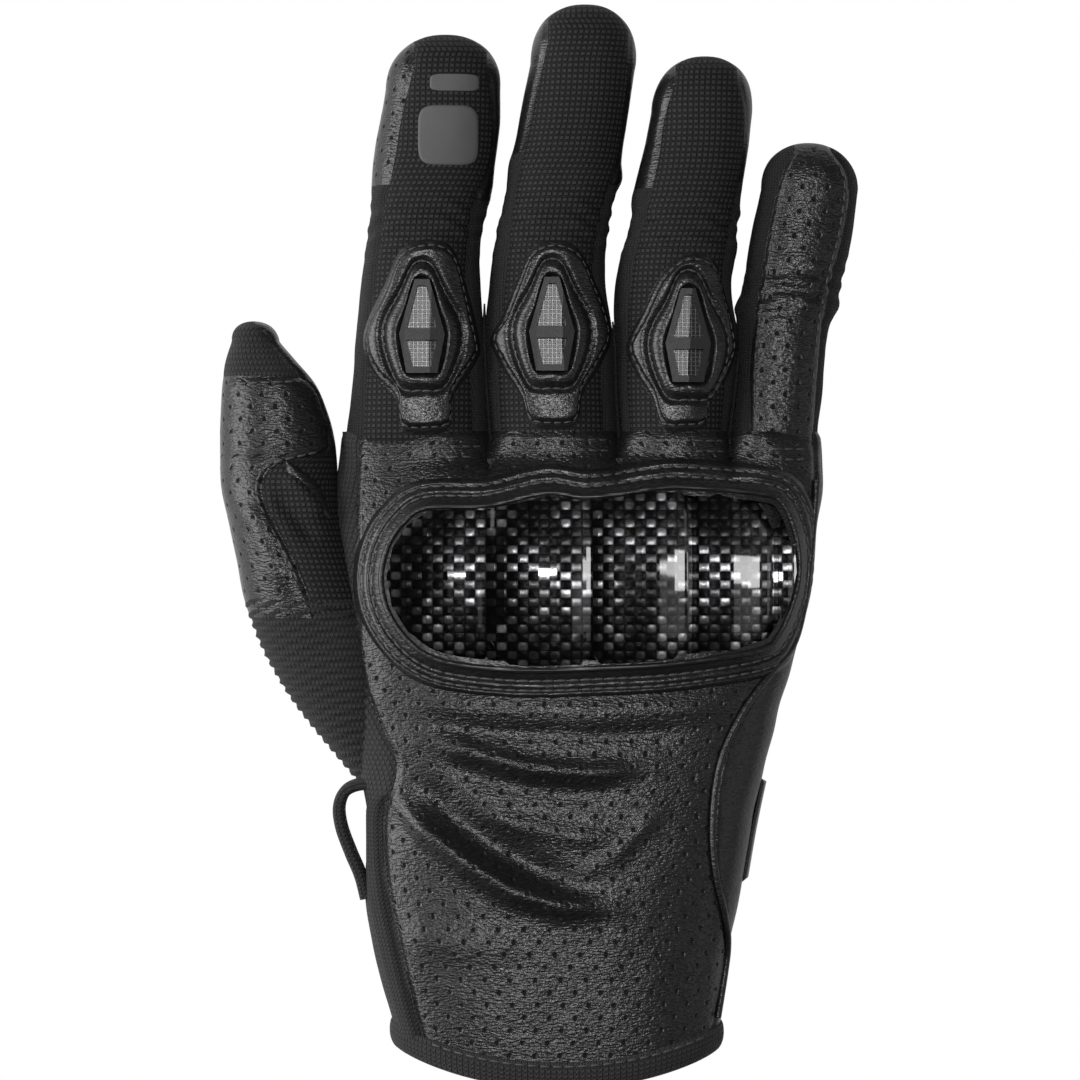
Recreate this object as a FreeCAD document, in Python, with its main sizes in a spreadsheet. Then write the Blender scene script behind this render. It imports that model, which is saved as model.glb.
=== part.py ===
"""Right-hand short-cuff riding glove: leather and stretch panels sewn into a hollow hand, with a rigid
knuckle guard, vented finger armour and a hook-and-loop wrist strap.

Frame, in millimetres: +Y towards the fingertips, +Z out of the back of the hand, -X towards the thumb.
The glove lies palm down. The origin is the middle of the flat face of the palm patch.
Soft panels are walls cut out of lofted ovals. Rigid trim is extruded and revolved from its outlines.
"""
import FreeCAD, Part
import math
import os
from FreeCAD import Placement, Rotation, Vector

doc = FreeCAD.newDocument("riding_glove")
sheet = doc.addObject("Spreadsheet::Sheet", "sizes")

# ---------------------------------------------------------------- driving dimensions
SIZES = [
    # walls, layers and clearances
    ("wall", 1.8),              # leather or fabric with its lining
    ("patch_height", 1.2),      # the palm leather starts this far above the table
    ("joint_gap", 0.5),         # space between two finger sections at rest
    ("seat_gap", 0.3),          # space between pieces that slide or peel apart
    ("pad_height", 2.4),        # padded leather over each finger knuckle
    ("layer", 1.3),             # leather band stitched round the guard
    # hand, from the finger roots to the hem
    ("root_y", 44.0), ("root_left", -48.0), ("root_right", 57.8), ("root_top", 25.0),
    ("knuckle_y", 24.0), ("knuckle_left", -50.0), ("knuckle_right", 57.0), ("knuckle_top", 31.0),
    ("palm_y", 0.0), ("palm_left", -49.5), ("palm_right", 52.6), ("palm_top", 33.5),
    ("heel_y", -16.0), ("heel_left", -46.8), ("heel_right", 48.4), ("heel_top", 34.6),
    ("wrist_y", -38.0), ("wrist_left", -42.0), ("wrist_right", 42.4), ("wrist_top", 36.2),
    ("cuff_y", -72.0), ("cuff_left", -40.4), ("cuff_right", 36.2), ("cuff_top", 38.5),
    ("hem_y", -98.0), ("hem_left", -33.0), ("hem_right", 33.0), ("hem_top", 39.5),
    ("wrist_lift", 5.4),        # underside of the wrist above the table, which leaves room for the strap
    ("hem_radius", 92.5), ("hem_end_y", -96.3), ("hem_width", 4.0), ("hem_proud", 0.7),
    ("side_seam_z", 15.0),
    # fingers: root, knuckle, middle joint, pad and tip
    ("index_root_x", -31.7), ("index_root_half", 15.6), ("index_kite_x", -31.3), ("index_kite_half", 13.8),
    ("index_mid_x", -30.3), ("index_mid_y", 88.5), ("index_mid_half", 12.6),
    ("index_pad_x", -27.0), ("index_pad_y", 112.0), ("index_pad_half", 13.3),
    ("index_tip_x", -25.4), ("index_tip_y", 134.2),
    ("middle_root_x", -1.2), ("middle_root_half", 13.8), ("middle_kite_x", -2.3), ("middle_kite_half", 14.0),
    ("middle_mid_x", -1.9), ("middle_mid_y", 89.0), ("middle_mid_half", 12.4),
    ("middle_pad_x", 3.8), ("middle_pad_y", 121.0), ("middle_pad_half", 12.0),
    ("middle_tip_x", 5.8), ("middle_tip_y", 140.9),
    ("ring_root_x", 25.1), ("ring_root_half", 11.7), ("ring_kite_x", 25.7), ("ring_kite_half", 13.1),
    ("ring_mid_x", 26.8), ("ring_mid_y", 87.5), ("ring_mid_half", 12.2),
    ("ring_pad_x", 30.6), ("ring_pad_y", 110.0), ("ring_pad_half", 11.5),
    ("ring_tip_x", 32.4), ("ring_tip_y", 129.4),
    ("little_root_x", 47.8), ("little_root_half", 9.4), ("little_kite_x", 50.0), ("little_kite_half", 9.3),
    ("little_mid_x", 51.2), ("little_mid_y", 73.5), ("little_mid_half", 10.5),
    ("little_pad_x", 54.5), ("little_pad_y", 93.0), ("little_pad_half", 11.1),
    ("little_tip_x", 56.4), ("little_tip_y", 110.3),
    ("kite_y", 66.0), ("little_kite_y", 59.0),
    ("root_half_height", 11.5), ("mid_half_height", 10.8), ("pad_half_height", 9.8),
    ("little_height_share", 0.88),
    ("cap_reach", 31.0),        # leather cap over each fingertip, measured back from the tip
    # thumb
    ("thumb_base_x", -36.0), ("thumb_base_y", -26.0), ("thumb_base_half", 13.5),
    ("thumb_ball_x", -47.0), ("thumb_ball_y", -8.0), ("thumb_ball_half", 13.2),
    ("thumb_low_x", -55.7), ("thumb_low_y", 8.0), ("thumb_low_half", 13.8),
    ("thumb_mid_x", -59.6), ("thumb_mid_y", 21.0), ("thumb_mid_half", 13.0),
    ("thumb_joint_x", -62.1), ("thumb_joint_y", 33.0), ("thumb_joint_half", 12.7),
    ("thumb_pad_x", -62.8), ("thumb_pad_y", 45.0), ("thumb_pad_half", 12.3),
    ("thumb_tip_x", -68.0), ("thumb_tip_y", 70.4),
    ("hole_y", -9.0), ("hole_half_length", 18.0), ("hole_half_height", 9.6),
    ("thumb_lift", 1.6), ("thumb_half_height", 13.0), ("thumb_joint_half_height", 11.6),
    ("thumb_pad_half_height", 10.2),
    # knuckle guard: a scalloped profile turned about an axis across the hand
    ("guard_span", 90.7), ("guard_mid_x", 4.0), ("guard_mid_y", 11.5), ("guard_axis_z", 0.0),
    ("guard_crest", 41.5), ("guard_valley_depth", 2.6), ("guard_side_drop", 13.0), ("guard_wall", 1.6),
    ("guard_draft_height", 46.0), ("guard_foot_z", 20.0), ("groove_half_width", 0.9), ("surround_width", 6.5),
    # finger armour: a kite-shaped frame with a crossbar
    ("vent_half_width", 5.0), ("vent_top", 12.0), ("vent_bottom", 8.5), ("vent_rim", 1.4),
    ("vent_bar", 2.6), ("vent_proud", 0.9), ("mesh_height", 0.6),
    ("kite_half_width", 12.0), ("kite_top", 21.0), ("kite_tail", 20.0), ("kite_tail_half", 5.0),
    # wrist closure and pull loop
    ("strap_top_y", -30.5), ("strap_bottom_y", -53.0), ("strap_thickness", 1.5), ("tape_thickness", 1.0),
    ("strap_root_x", 27.0), ("strap_end_x", -27.0), ("tape_end_x", 0.0), ("tab_length", 9.0),
    ("loop_bulge", 10.0), ("loop_half_length", 11.0), ("loop_wall", 1.8), ("loop_width", 11.0),
    ("loop_mid_y", -45.8), ("loop_low_z", 15.0),
    # palm
    ("patch_half_width", 31.0), ("patch_half_length", 26.0), ("patch_corner", 10.0), ("patch_y", 6.0),
]
for row, (alias, value) in enumerate(SIZES, start=1):
    sheet.set(f"A{row}", alias)
    sheet.set(f"B{row}", str(value))
    sheet.setAlias(f"B{row}", alias)
doc.recompute()


def size(alias):
    """A driving dimension, read from the sheet."""
    return float(getattr(sheet, alias))


# ---------------------------------------------------------------- document helpers
def cell(alias):
    return f"<<sizes>>.{alias}"


def bind(obj, **expressions):
    """Ties properties of an object to cells of the sheet; two underscores stand for a dot."""
    for name, text in expressions.items():
        obj.setExpression(name.replace("__", "."), text)
    return obj


def feature(name, shape):
    obj = doc.addObject("Part::Feature", name)
    obj.Shape = shape
    return obj


def cut(name, base, tool):
    obj = doc.addObject("Part::Cut", name)
    obj.Base, obj.Tool = base, tool
    return obj


def common(name, base, tool):
    obj = doc.addObject("Part::Common", name)
    obj.Base, obj.Tool = base, tool
    return obj


def block(name, low, high):
    """A box between two corners, used to divide walls into panels."""
    obj = doc.addObject("Part::Box", name)
    obj.Length, obj.Width, obj.Height = high[0] - low[0], high[1] - low[1], high[2] - low[2]
    obj.Placement = Placement(Vector(*low), Rotation())
    return obj


def raised(name, wire, low, high):
    """A closed outline in the XY plane, extruded from one height to another."""
    outline = feature(f"{name}_outline", Part.Face(wire))
    obj = doc.addObject("Part::Extrusion", name)
    obj.Base, obj.Dir, obj.Solid = outline, Vector(0, 0, 1), True
    obj.DirMode = "Custom"
    bind(obj, LengthFwd=str(high), LengthRev=f"-({low})")
    return obj


def straight_outline(points):
    corners = [Vector(x, y, 0) for x, y in points]
    return Part.makePolygon(corners + corners[:1])


parts = {}


def keep(node, obj):
    """Marks an object as a piece of the glove. Its Label names its file."""
    obj.Label = node
    parts[node] = obj
    return obj


FAR = 300.0          # further than the glove reaches in any direction
table = size("patch_height")
half_gap = size("joint_gap") / 2


# ---------------------------------------------------------------- sections and panels
class Oval:
    """A superellipse across a limb, flatter above or below by its powers. lean turns it, seen from above."""

    def __init__(self, centre, half_width, half_height, lean=0.0, top_power=2.3, bottom_power=2.3):
        self.centre, self.half_width, self.half_height = centre, half_width, half_height
        self.lean, self.top_power, self.bottom_power = lean, top_power, bottom_power

    def grown(self, amount):
        return Oval(self.centre, self.half_width + amount, self.half_height + amount, self.lean,
                    self.top_power, self.bottom_power)

    def moved(self, along):
        heading = Vector(math.sin(math.radians(self.lean)), math.cos(math.radians(self.lean)), 0)
        return Oval(self.centre + heading * along, self.half_width, self.half_height, self.lean,
                    self.top_power, self.bottom_power)

    def point(self, degrees):
        """The point at an angle: 0 is the +X side, 90 the top."""
        angle = math.radians(degrees)
        cosine, sine = math.cos(angle), math.sin(angle)
        power = self.top_power if sine > 0 else self.bottom_power
        reach = (abs(cosine) ** power + abs(sine) ** power) ** (-1 / power)
        offset = Vector(reach * cosine * self.half_width, 0, reach * sine * self.half_height)
        return self.centre + Rotation(Vector(0, 0, 1), -self.lean).multVec(offset)

    def angle_at(self, x, below=False):
        """The angle of the point at x, on the upper half or the lower one."""
        share = max(-1.0, min(1.0, (x - self.centre.x) / self.half_width))
        power = self.bottom_power if below else self.top_power
        height = (1 - abs(share) ** power) ** (1 / power)
        angle = math.degrees(math.atan2(height, share))
        return 360 - angle if below else angle


def span(start, end, steps):
    """Angles from one seam to another, ends included."""
    return [start + (end - start) * k / steps for k in range(steps + 1)]


def faceted(name, rings, caps, turned_from=None):
    """A closed solid with flat faces through rings of points. caps lists the corners of each end facet.

    The sides split from the lower ring to the next corner of the upper one, and from corner turned_from
    on the other way, so that the two skins of a wall and the edges of two walls at a seam match.
    """
    faces = []
    turned_from = len(rings[0]) if turned_from is None else turned_from

    def triangle(*corners):
        faces.append(Part.Face(Part.makePolygon(list(corners) + [corners[0]])))

    for first, second in zip(rings, rings[1:]):
        for k in range(len(first)):
            following = (k + 1) % len(first)
            if k < turned_from:
                triangle(first[k], second[k], second[following])
                triangle(first[k], second[following], first[following])
            else:
                triangle(first[k], second[k], first[following])
                triangle(second[k], second[following], first[following])
    for ring in (rings[0], rings[-1]):
        for corners in caps:
            triangle(*[ring[k] for k in corners])
    solid = Part.makeSolid(Part.makeShell(faces))
    if solid.Volume < 0:
        solid.reverse()
    return feature(name, solid)


def solid_limb(name, sections, angles, grow=0.0):
    """A closed limb through sections. angles gives the corners of each, all the way round."""
    rings = [[section.grown(grow).point(angle) for angle in turn] for section, turn in zip(sections, angles)]
    count = len(rings[0])
    caps = [(0, k, k + 1) for k in range(1, count - 1)]
    return faceted(name, rings, caps)


def panel(name, sections, angles, low=None, high=0.0):
    """A wall between two offsets of the sections, across the angles given for each."""
    low = -size("wall") if low is None else low
    rings = []
    for section, turn in zip(sections, angles):
        outer = [section.grown(high).point(angle) for angle in turn]
        inner = [section.grown(low).point(angle) for angle in turn]
        rings.append(outer + inner[::-1])
    last = len(rings[0]) - 1
    caps = []
    for k in range(len(angles[0]) - 1):
        caps += [(k, k + 1, last - k), (k + 1, last - k - 1, last - k)]
    return faceted(name, rings, caps, len(angles[0]))


def plan(alias):
    """The centre of a section, seen from above."""
    return Vector(size(f"{alias}_x"), size(f"{alias}_y"), 0)


def lean_between(start, end):
    return math.degrees(math.atan2(end.x - start.x, end.y - start.y))


# ---------------------------------------------------------------- hand
HAND_STATIONS = ("root", "knuckle", "palm", "heel", "wrist", "cuff", "hem")
# where the back panel is seamed to its neighbours, across the hand at each station
BACK_LEFT = (-44.5, -44.5, -43.5, -39.0, -37.4, -33.5, -27.0)
BACK_RIGHT = (55.0, 55.5, 50.5, 40.0, 33.2, 34.6, 31.0)
SIDE_RIGHT = -8.0
SIDE_LEFT = (188, 205, 233, 233, 205, 188, 188)     # angle of the palm seam, which dips under the thumb


def hand_section(station):
    left, right = size(f"{station}_left"), size(f"{station}_right")
    low = size("wrist_lift") if station in ("wrist", "cuff", "hem") else table
    if station == "heel":
        low += 1.2
    high = size(f"{station}_top")
    centre = Vector((left + right) / 2, size(f"{station}_y"), (low + high) / 2)
    section = Oval(centre, (right - left) / 2, (high - low) / 2, 0, 2.7, 3.0)
    return section.moved(-half_gap) if station == "root" else section


hand = [hand_section(station) for station in HAND_STATIONS]
left_seam = [section.angle_at(x) for section, x in zip(hand, BACK_LEFT)]
right_seam = [section.angle_at(x) for section, x in zip(hand, BACK_RIGHT)]
outer_side_angles = [span(SIDE_RIGHT, seam, 3) for seam in right_seam]
back_angles = [span(right, left, 14) for right, left in zip(right_seam, left_seam)]
stretch_angles = [span(left, side, 5) for left, side in zip(left_seam, SIDE_LEFT)]
palm_angles = [span(side, 360 + SIDE_RIGHT, 12) for side in SIDE_LEFT]
hand_angles = [a[:-1] + b[:-1] + c[:-1] + d[:-1] for a, b, c, d in
               zip(outer_side_angles, back_angles, stretch_angles, palm_angles)]
hand_outer = solid_limb("hand_outer", hand, hand_angles)


def hem_disc(name, short):
    """A tall drum whose rim is the curve of the hem, less short."""
    drum = doc.addObject("Part::Cylinder", name)
    drum.Height = FAR
    bind(drum, Radius=f"{cell('hem_radius')} - {short}")
    drum.Placement = Placement(Vector(0, size("hem_end_y") + size("hem_radius"), -FAR / 2), Rotation())
    return drum


# ---------------------------------------------------------------- thumb
THUMB_LEANS = {"base": -36.0, "ball": -31.0, "low": -19.0, "mid": -10.0, "joint": -5.0}
TIP_ANGLES = (0, 28, 52, 72, 85)
thumb_floor = table + size("thumb_lift")


def tip_sections(pad, tip, half_width, half_height, floor, inset, bluntness):
    """Sections that round a limb off between its pad and its tip."""
    along = (tip - pad).normalize()
    reach = (tip - pad).Length - inset
    sections = []
    for degrees in TIP_ANGLES:
        angle = math.radians(degrees)
        centre = pad + along * (reach * math.sin(angle))
        centre.z = floor + half_height
        shrink = math.cos(angle) ** bluntness
        sections.append(Oval(centre, (half_width - inset) * shrink, (half_height - inset) * shrink,
                             lean_between(pad, tip)))
    return sections


def thumb_section(station):
    height = size("thumb_joint_half_height") if station == "joint" else size("thumb_half_height")
    centre = plan(f"thumb_{station}")
    centre.z = thumb_floor + height
    return Oval(centre, size(f"thumb_{station}_half"), height, THUMB_LEANS[station])


thumb = [thumb_section(station) for station in ("base", "ball", "low", "mid", "joint")]
thumb[-1] = thumb[-1].moved(-half_gap)


def thumb_passage():
    """The oval hole in the side of the hand that the thumb goes through."""
    oval = Part.Ellipse(Vector(0, 0, 0), size("hole_half_length"), size("hole_half_height"))
    face = Part.Face(Part.Wire([oval.toShape()]))
    outline = feature("thumb_hole_outline", face)
    outline.Placement = Placement(Vector(-FAR / 4, size("hole_y"), size("side_seam_z")),
                                  Rotation(Vector(0, 1, 0), Vector(0, 0, 1), Vector(1, 0, 0), "ZXY"))
    bind(outline, Placement__Base__y=cell("hole_y"), Placement__Base__z=cell("side_seam_z"))
    hole = doc.addObject("Part::Extrusion", "thumb_hole")
    hole.Base, hole.Dir, hole.DirMode, hole.Solid = outline, Vector(1, 0, 0), "Custom", True
    hole.LengthFwd = FAR / 4 - 30
    return hole


thumb_hole = thumb_passage()

# ---------------------------------------------------------------- hand panels
panel_disc = hem_disc("panel_disc", cell("hem_width"))
back = panel("back_loft", hand, back_angles)
keep("back_panel", common("back_wall", back, panel_disc))
stretch = panel("stretch_loft", hand, stretch_angles)
keep("side_stretch_panel", common("stretch_wall", cut("stretch_open", stretch, thumb_hole), panel_disc))
outer_side = panel("outer_side_loft", hand, outer_side_angles)
keep("outer_side_panel", common("outer_side_wall", outer_side, panel_disc))
palm = panel("palm_loft", hand, palm_angles)
keep("palm_panel", common("palm_wall", palm, panel_disc))

# ---------------------------------------------------------------- cuff binding
proud = size("hem_proud")
hem_outer = solid_limb("hem_outer", hand, hand_angles, proud)
hem_solid = cut("hem_solid", common("hem_trimmed", hem_outer, hem_disc("hem_line", "0")), panel_disc)
hem_bore = solid_limb("hem_bore", hand[:-1] + [hand[-1].moved(-1.0)], hand_angles, -size("wall") - proud)
keep("cuff_binding", cut("hem_ring", hem_solid, hem_bore))

# ---------------------------------------------------------------- thumb panels
THUMB_SEAM = 60.0       # angle of the seam between the leather back and the stretch window
window_span, leather_span, under_span = span(2, THUMB_SEAM, 4), span(THUMB_SEAM, 178, 7), span(178, 362, 10)
upper_span = window_span[:-1] + leather_span
thumb_round = upper_span[:-1] + under_span[:-1]
low_part, high_part = thumb[:3], thumb[2:]
keep("thumb_gusset", cut("gusset_wall", panel("gusset_loft", low_part, [upper_span] * 3), hand_outer))
keep("thumb_palm", cut("thumb_palm_wall", panel("thumb_palm_loft", thumb, [under_span] * 5), hand_outer))
keep("thumb_back", panel("thumb_back_wall", high_part, [leather_span] * 3))
window = panel("window_loft", high_part, [window_span] * 3)
keep("thumb_stretch_window", cut("window_wall", window, hand_outer))
thumb_joint = thumb_section("joint")
thumb_end_sizes = (size("thumb_pad_half"), size("thumb_pad_half_height"), thumb_floor)
thumb_tips = tip_sections(plan("thumb_pad"), plan("thumb_tip"), *thumb_end_sizes, 0, 1.2)
thumb_bore = tip_sections(plan("thumb_pad"), plan("thumb_tip"), *thumb_end_sizes, size("wall"), 1.2)
thumb_end = [thumb_joint.moved(half_gap), thumb_tips[0]]
keep("thumb_end_back", panel("thumb_end_back_wall", thumb_end, [upper_span] * 2))
keep("thumb_end_palm", panel("thumb_end_palm_wall", thumb_end, [under_span] * 2))
thumb_bore.insert(0, thumb_bore[0].moved(-1.0))
thumb_tip_outer = solid_limb("thumb_tip_outer", thumb_tips, [thumb_round] * len(thumb_tips))
thumb_tip_inner = solid_limb("thumb_tip_inner", thumb_bore, [thumb_round] * len(thumb_bore))
keep("thumb_tip", cut("thumb_tip_wall", thumb_tip_outer, thumb_tip_inner))

# ---------------------------------------------------------------- fingers
FINGERS = {
    # name: lean at the middle joint in degrees, armour centre (x, y) or None
    "index": {"lean": 4.5, "armour": (-30.2, 67.0)},
    "middle": {"lean": 6.0, "armour": (-1.8, 67.5)},
    "ring": {"lean": 6.5, "armour": (28.0, 65.0)},
    "little": {"lean": 10.5, "armour": None},
}
TOP_SPAN, UNDER_SPAN = span(4, 176, 9), span(176, 364, 9)      # back and palm face of a finger
FINGER_ROUND = TOP_SPAN[:-1] + UNDER_SPAN[:-1]


def finger_section(name, station, centre, height, lean):
    centre = Vector(centre.x, centre.y, table + height)
    return Oval(centre, size(f"{name}_{station}_half"), height, lean)


def between(first, second, share):
    """The section part of the way from one to another."""
    def mix(a, b):
        return a * (1 - share) + b * share
    return Oval(mix(first.centre, second.centre), mix(first.half_width, second.half_width),
                mix(first.half_height, second.half_height), mix(first.lean, second.lean))


def kite_outline(cx, cy):
    half, top = size("kite_half_width"), size("kite_top")
    tail, tail_half = size("kite_tail"), size("kite_tail_half")
    right = [(cx + 5.5, cy + top - 3.5), (cx + half - 0.8, cy + 4), (cx + half, cy - 2),
             (cx + tail_half + 3, cy - 11), (cx + tail_half, cy - tail)]
    left = [(2 * cx - x, y) for x, y in reversed(right)]
    return straight_outline([(cx, cy + top)] + right + [(cx, cy - tail - 0.4)] + left)


def vent_outline(cx, cy, inset):
    half, top, bottom = size("vent_half_width"), size("vent_top") - inset, size("vent_bottom") - inset
    right = [(cx + 1.6 - inset / 2, cy + top), (cx + half - inset, cy),
             (cx + half - 1.6 - inset, cy - bottom)]
    left = [(2 * cx - x, y) for x, y in reversed(right)]
    return straight_outline(right + left)


for name, spec in FINGERS.items():
    share = size("little_height_share") if name == "little" else 1.0
    root_h, mid_h, pad_h = [size(f"{part}_half_height") * share for part in ("root", "mid", "pad")]
    kite_y = size("little_kite_y") if name == "little" else size("kite_y")
    root = finger_section(name, "root", Vector(size(f"{name}_root_x"), size("root_y"), 0), root_h, 0)
    kite = finger_section(name, "kite", Vector(size(f"{name}_kite_x"), kite_y, 0), (root_h + mid_h) / 2,
                          spec["lean"] / 2)
    middle = finger_section(name, "mid", plan(f"{name}_mid"), mid_h, spec["lean"])
    base = [root.moved(half_gap), kite, middle.moved(-half_gap)]
    keep(f"{name}_base_back", panel(f"{name}_base_back_wall", base, [TOP_SPAN] * 3))
    keep(f"{name}_base_palm", panel(f"{name}_base_palm_wall", base, [UNDER_SPAN] * 3))

    # the end: a tube up to the leather cap, then the cap
    pad_centre, tip_centre = plan(f"{name}_pad"), plan(f"{name}_tip")
    tips = tip_sections(pad_centre, tip_centre, size(f"{name}_pad_half"), pad_h, table, 0, 0.8)
    bore = tip_sections(pad_centre, tip_centre, size(f"{name}_pad_half"), pad_h, table, size("wall"), 0.8)
    cap_y = size(f"{name}_tip_y") - size("cap_reach")
    cap_share = (cap_y - size(f"{name}_mid_y")) / (size(f"{name}_pad_y") - size(f"{name}_mid_y"))
    if cap_share < 0.9:
        cap = between(middle, tips[0], cap_share)
        tips.insert(0, cap)
        bore.insert(0, cap.grown(-size("wall")))
    tube = [middle.moved(half_gap), tips[0]]
    keep(f"{name}_end_back", panel(f"{name}_end_back_wall", tube, [TOP_SPAN] * 2))
    keep(f"{name}_end_palm", panel(f"{name}_end_palm_wall", tube, [UNDER_SPAN] * 2))
    bore.insert(0, bore[0].moved(-1.0))
    cap_outer = solid_limb(f"{name}_tip_outer", tips, [FINGER_ROUND] * len(tips))
    cap_inner = solid_limb(f"{name}_tip_inner", bore, [FINGER_ROUND] * len(bore))
    keep(f"{name}_tip_cap", cut(f"{name}_cap_wall", cap_outer, cap_inner))
    if spec["armour"] is None:
        continue

    # padded kite with the vent frame let into it
    cx, cy = spec["armour"]
    vent_low, proud_top = table + mid_h, size("pad_height") + size("vent_proud")
    kite_prism = raised(f"{name}_kite", kite_outline(cx, cy), vent_low, FAR)
    vent_prism = raised(f"{name}_vent", vent_outline(cx, cy, 0), vent_low, FAR)
    windows = raised(f"{name}_windows", vent_outline(cx, cy, size("vent_rim")), vent_low, FAR)
    bar_low, bar_high = cy - size("vent_bar") / 2, cy + size("vent_bar") / 2
    bar = block(f"{name}_bar", (cx - FAR, bar_low, 0), (cx + FAR, bar_high, FAR))
    bind(bar, Width=cell("vent_bar"))
    openings = cut(f"{name}_openings", windows, bar)
    pad_layer = panel(f"{name}_pad_layer", base, [TOP_SPAN] * 3, 0, size("pad_height"))
    frame_layer = panel(f"{name}_frame_layer", base, [TOP_SPAN] * 3, 0, proud_top)
    mesh_layer = panel(f"{name}_mesh_layer", base, [TOP_SPAN] * 3, 1.2, 1.2 + size("mesh_height"))
    pad_block = common(f"{name}_pad_block", pad_layer, kite_prism)
    keep(f"{name}_knuckle_pad", cut(f"{name}_pad", pad_block, vent_prism))
    frame_block = common(f"{name}_frame_block", frame_layer, vent_prism)
    keep(f"{name}_vent_frame", cut(f"{name}_frame", frame_block, openings))
    keep(f"{name}_vent_mesh", common(f"{name}_mesh", mesh_layer, openings))

# ---------------------------------------------------------------- knuckle guard
GUARD_EDGE = [(-38.7, 14), (-37.3, 20.5), (-34, 25.5), (-29, 28.8), (-16, 29.2), (-3, 32), (6, 31),
              (20, 32.8), (27, 33.2), (44, 31.8), (48.6, 29.5), (51.4, 22.5), (52, 15), (50.8, 9),
              (47.6, 1.6), (43, -1.7), (25, -4.5), (8, -5.5), (-8, -5.9), (-22, -4.7), (-29, -2.6),
              (-34, 1.6), (-37.6, 7.5)]
GUARD_LOBES = (-41.0, -16.0, 6.5, 28.5, 46.5, 54.5)     # grooves between the lobes, and the two ends
LOBE_CHORDS = 8                                         # chords in each lobe's arch
FULL_LOBE = 18.0                                        # a lobe at least this wide rises to the crest
FOOT_SHARE, HEAD_SHARE = 1.02, 0.93                     # the outline below the seat, and above the crest
guard_scale = size("guard_span") / (GUARD_EDGE[12][0] - GUARD_EDGE[0][0])


def guard_outline(grow=0.0, share=1.0, z=0.0):
    """The guard's edge seen from above, moved outwards by grow and drawn in by share about its middle."""
    middle = Vector(6.5, 13.5, 0) * guard_scale
    corners = []
    for x, y in GUARD_EDGE:
        arm = Vector(x, y, 0) * guard_scale - middle
        corners.append(middle + arm * (1 + grow / arm.Length) * share + Vector(0, 0, z))
    return Part.makePolygon(corners + corners[:1])


def guard_radius(x, drop):
    """Height of the guard's surface above its turning axis at x."""
    reach = (x - size("guard_mid_x")) / (52.0 * guard_scale)
    return size("guard_crest") - size("guard_side_drop") * reach ** 2 - drop


def scallops():
    """The guard's profile along X: an arch for each knuckle, with a rounded groove after it."""
    depth, half = size("guard_valley_depth"), size("groove_half_width")
    limits = [x * guard_scale for x in GUARD_LOBES]
    points = []
    for k, (first, last) in enumerate(zip(limits, limits[1:])):
        start = first + half * (k > 0)
        end = last - half * (k < len(limits) - 2)
        rise = depth * min(1.0, (end - start) / FULL_LOBE)
        for step in range(LOBE_CHORDS + 1):
            across = -math.cos(math.pi * step / LOBE_CHORDS)
            x = (start + end) / 2 + (end - start) / 2 * across
            points.append(Vector(x, 0, guard_radius(x, depth - rise * (1 - across ** 2) ** 0.8)))
        if end < last:
            points.append(Vector(last, 0, guard_radius(last, depth + half / 2)))
    return points


def plain_arch(drop):
    """The smooth arched underside of the guard."""
    first, last = GUARD_LOBES[0] * guard_scale, GUARD_LOBES[-1] * guard_scale
    stations = [first + (last - first) * k / 6 for k in range(7)]
    return [Vector(x, 0, guard_radius(x, drop)) for x in stations]


def guard_turn(name, profile):
    """A profile along X, closed down towards its axis and turned about it."""
    axis_side = [Vector(profile[-1].x, 0, size("guard_wall")), Vector(profile[0].x, 0, size("guard_wall"))]
    face = feature(f"{name}_face", Part.Face(Part.makePolygon(profile + axis_side + profile[:1])))
    face.Placement = Placement(Vector(0, size("guard_mid_y"), size("guard_axis_z")), Rotation())
    obj = doc.addObject("Part::Revolution", name)
    obj.Source, obj.Axis, obj.Solid, obj.Symmetric = face, Vector(1, 0, 0), True, True
    obj.Angle = 110.0
    bind(obj, Base__y=cell("guard_mid_y"), Base__z=cell("guard_axis_z"))
    return obj


def guard_block_outline():
    """The guard's edge drawn in with height, as a moulding that leaves its tool."""
    foot = feature("guard_foot", guard_outline(share=FOOT_SHARE, z=size("guard_foot_z")))
    head = feature("guard_head", guard_outline(share=HEAD_SHARE, z=size("guard_draft_height")))
    loft = doc.addObject("Part::Loft", "guard_draft")
    loft.Sections, loft.Solid, loft.Ruled = [foot, head], True, True
    return loft


guard_top = guard_turn("guard_top", scallops())
guard_under = guard_turn("guard_under", plain_arch(size("guard_valley_depth") + size("guard_wall")))
guard_draft = guard_block_outline()
guard_block = common("guard_block", guard_top, guard_draft)
keep("knuckle_guard", cut("guard_shell", cut("guard_skin", guard_block, guard_under), hand_outer))
foam_block = common("guard_pad_block", guard_under, guard_draft)
keep("guard_foam_pad", cut("guard_pad", foam_block, hand_outer))
surround_prism = raised("surround_prism", guard_outline(size("surround_width")), size("guard_foot_z"), FAR)
inner_prism = raised("inner_prism", guard_outline(), size("guard_foot_z"), FAR)
hand_layer = panel("hand_layer", hand, back_angles, size("seat_gap") / 2, size("layer"))
keep("guard_surround", common("band_ring", hand_layer, cut("band_prism", surround_prism, inner_prism)))

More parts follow.
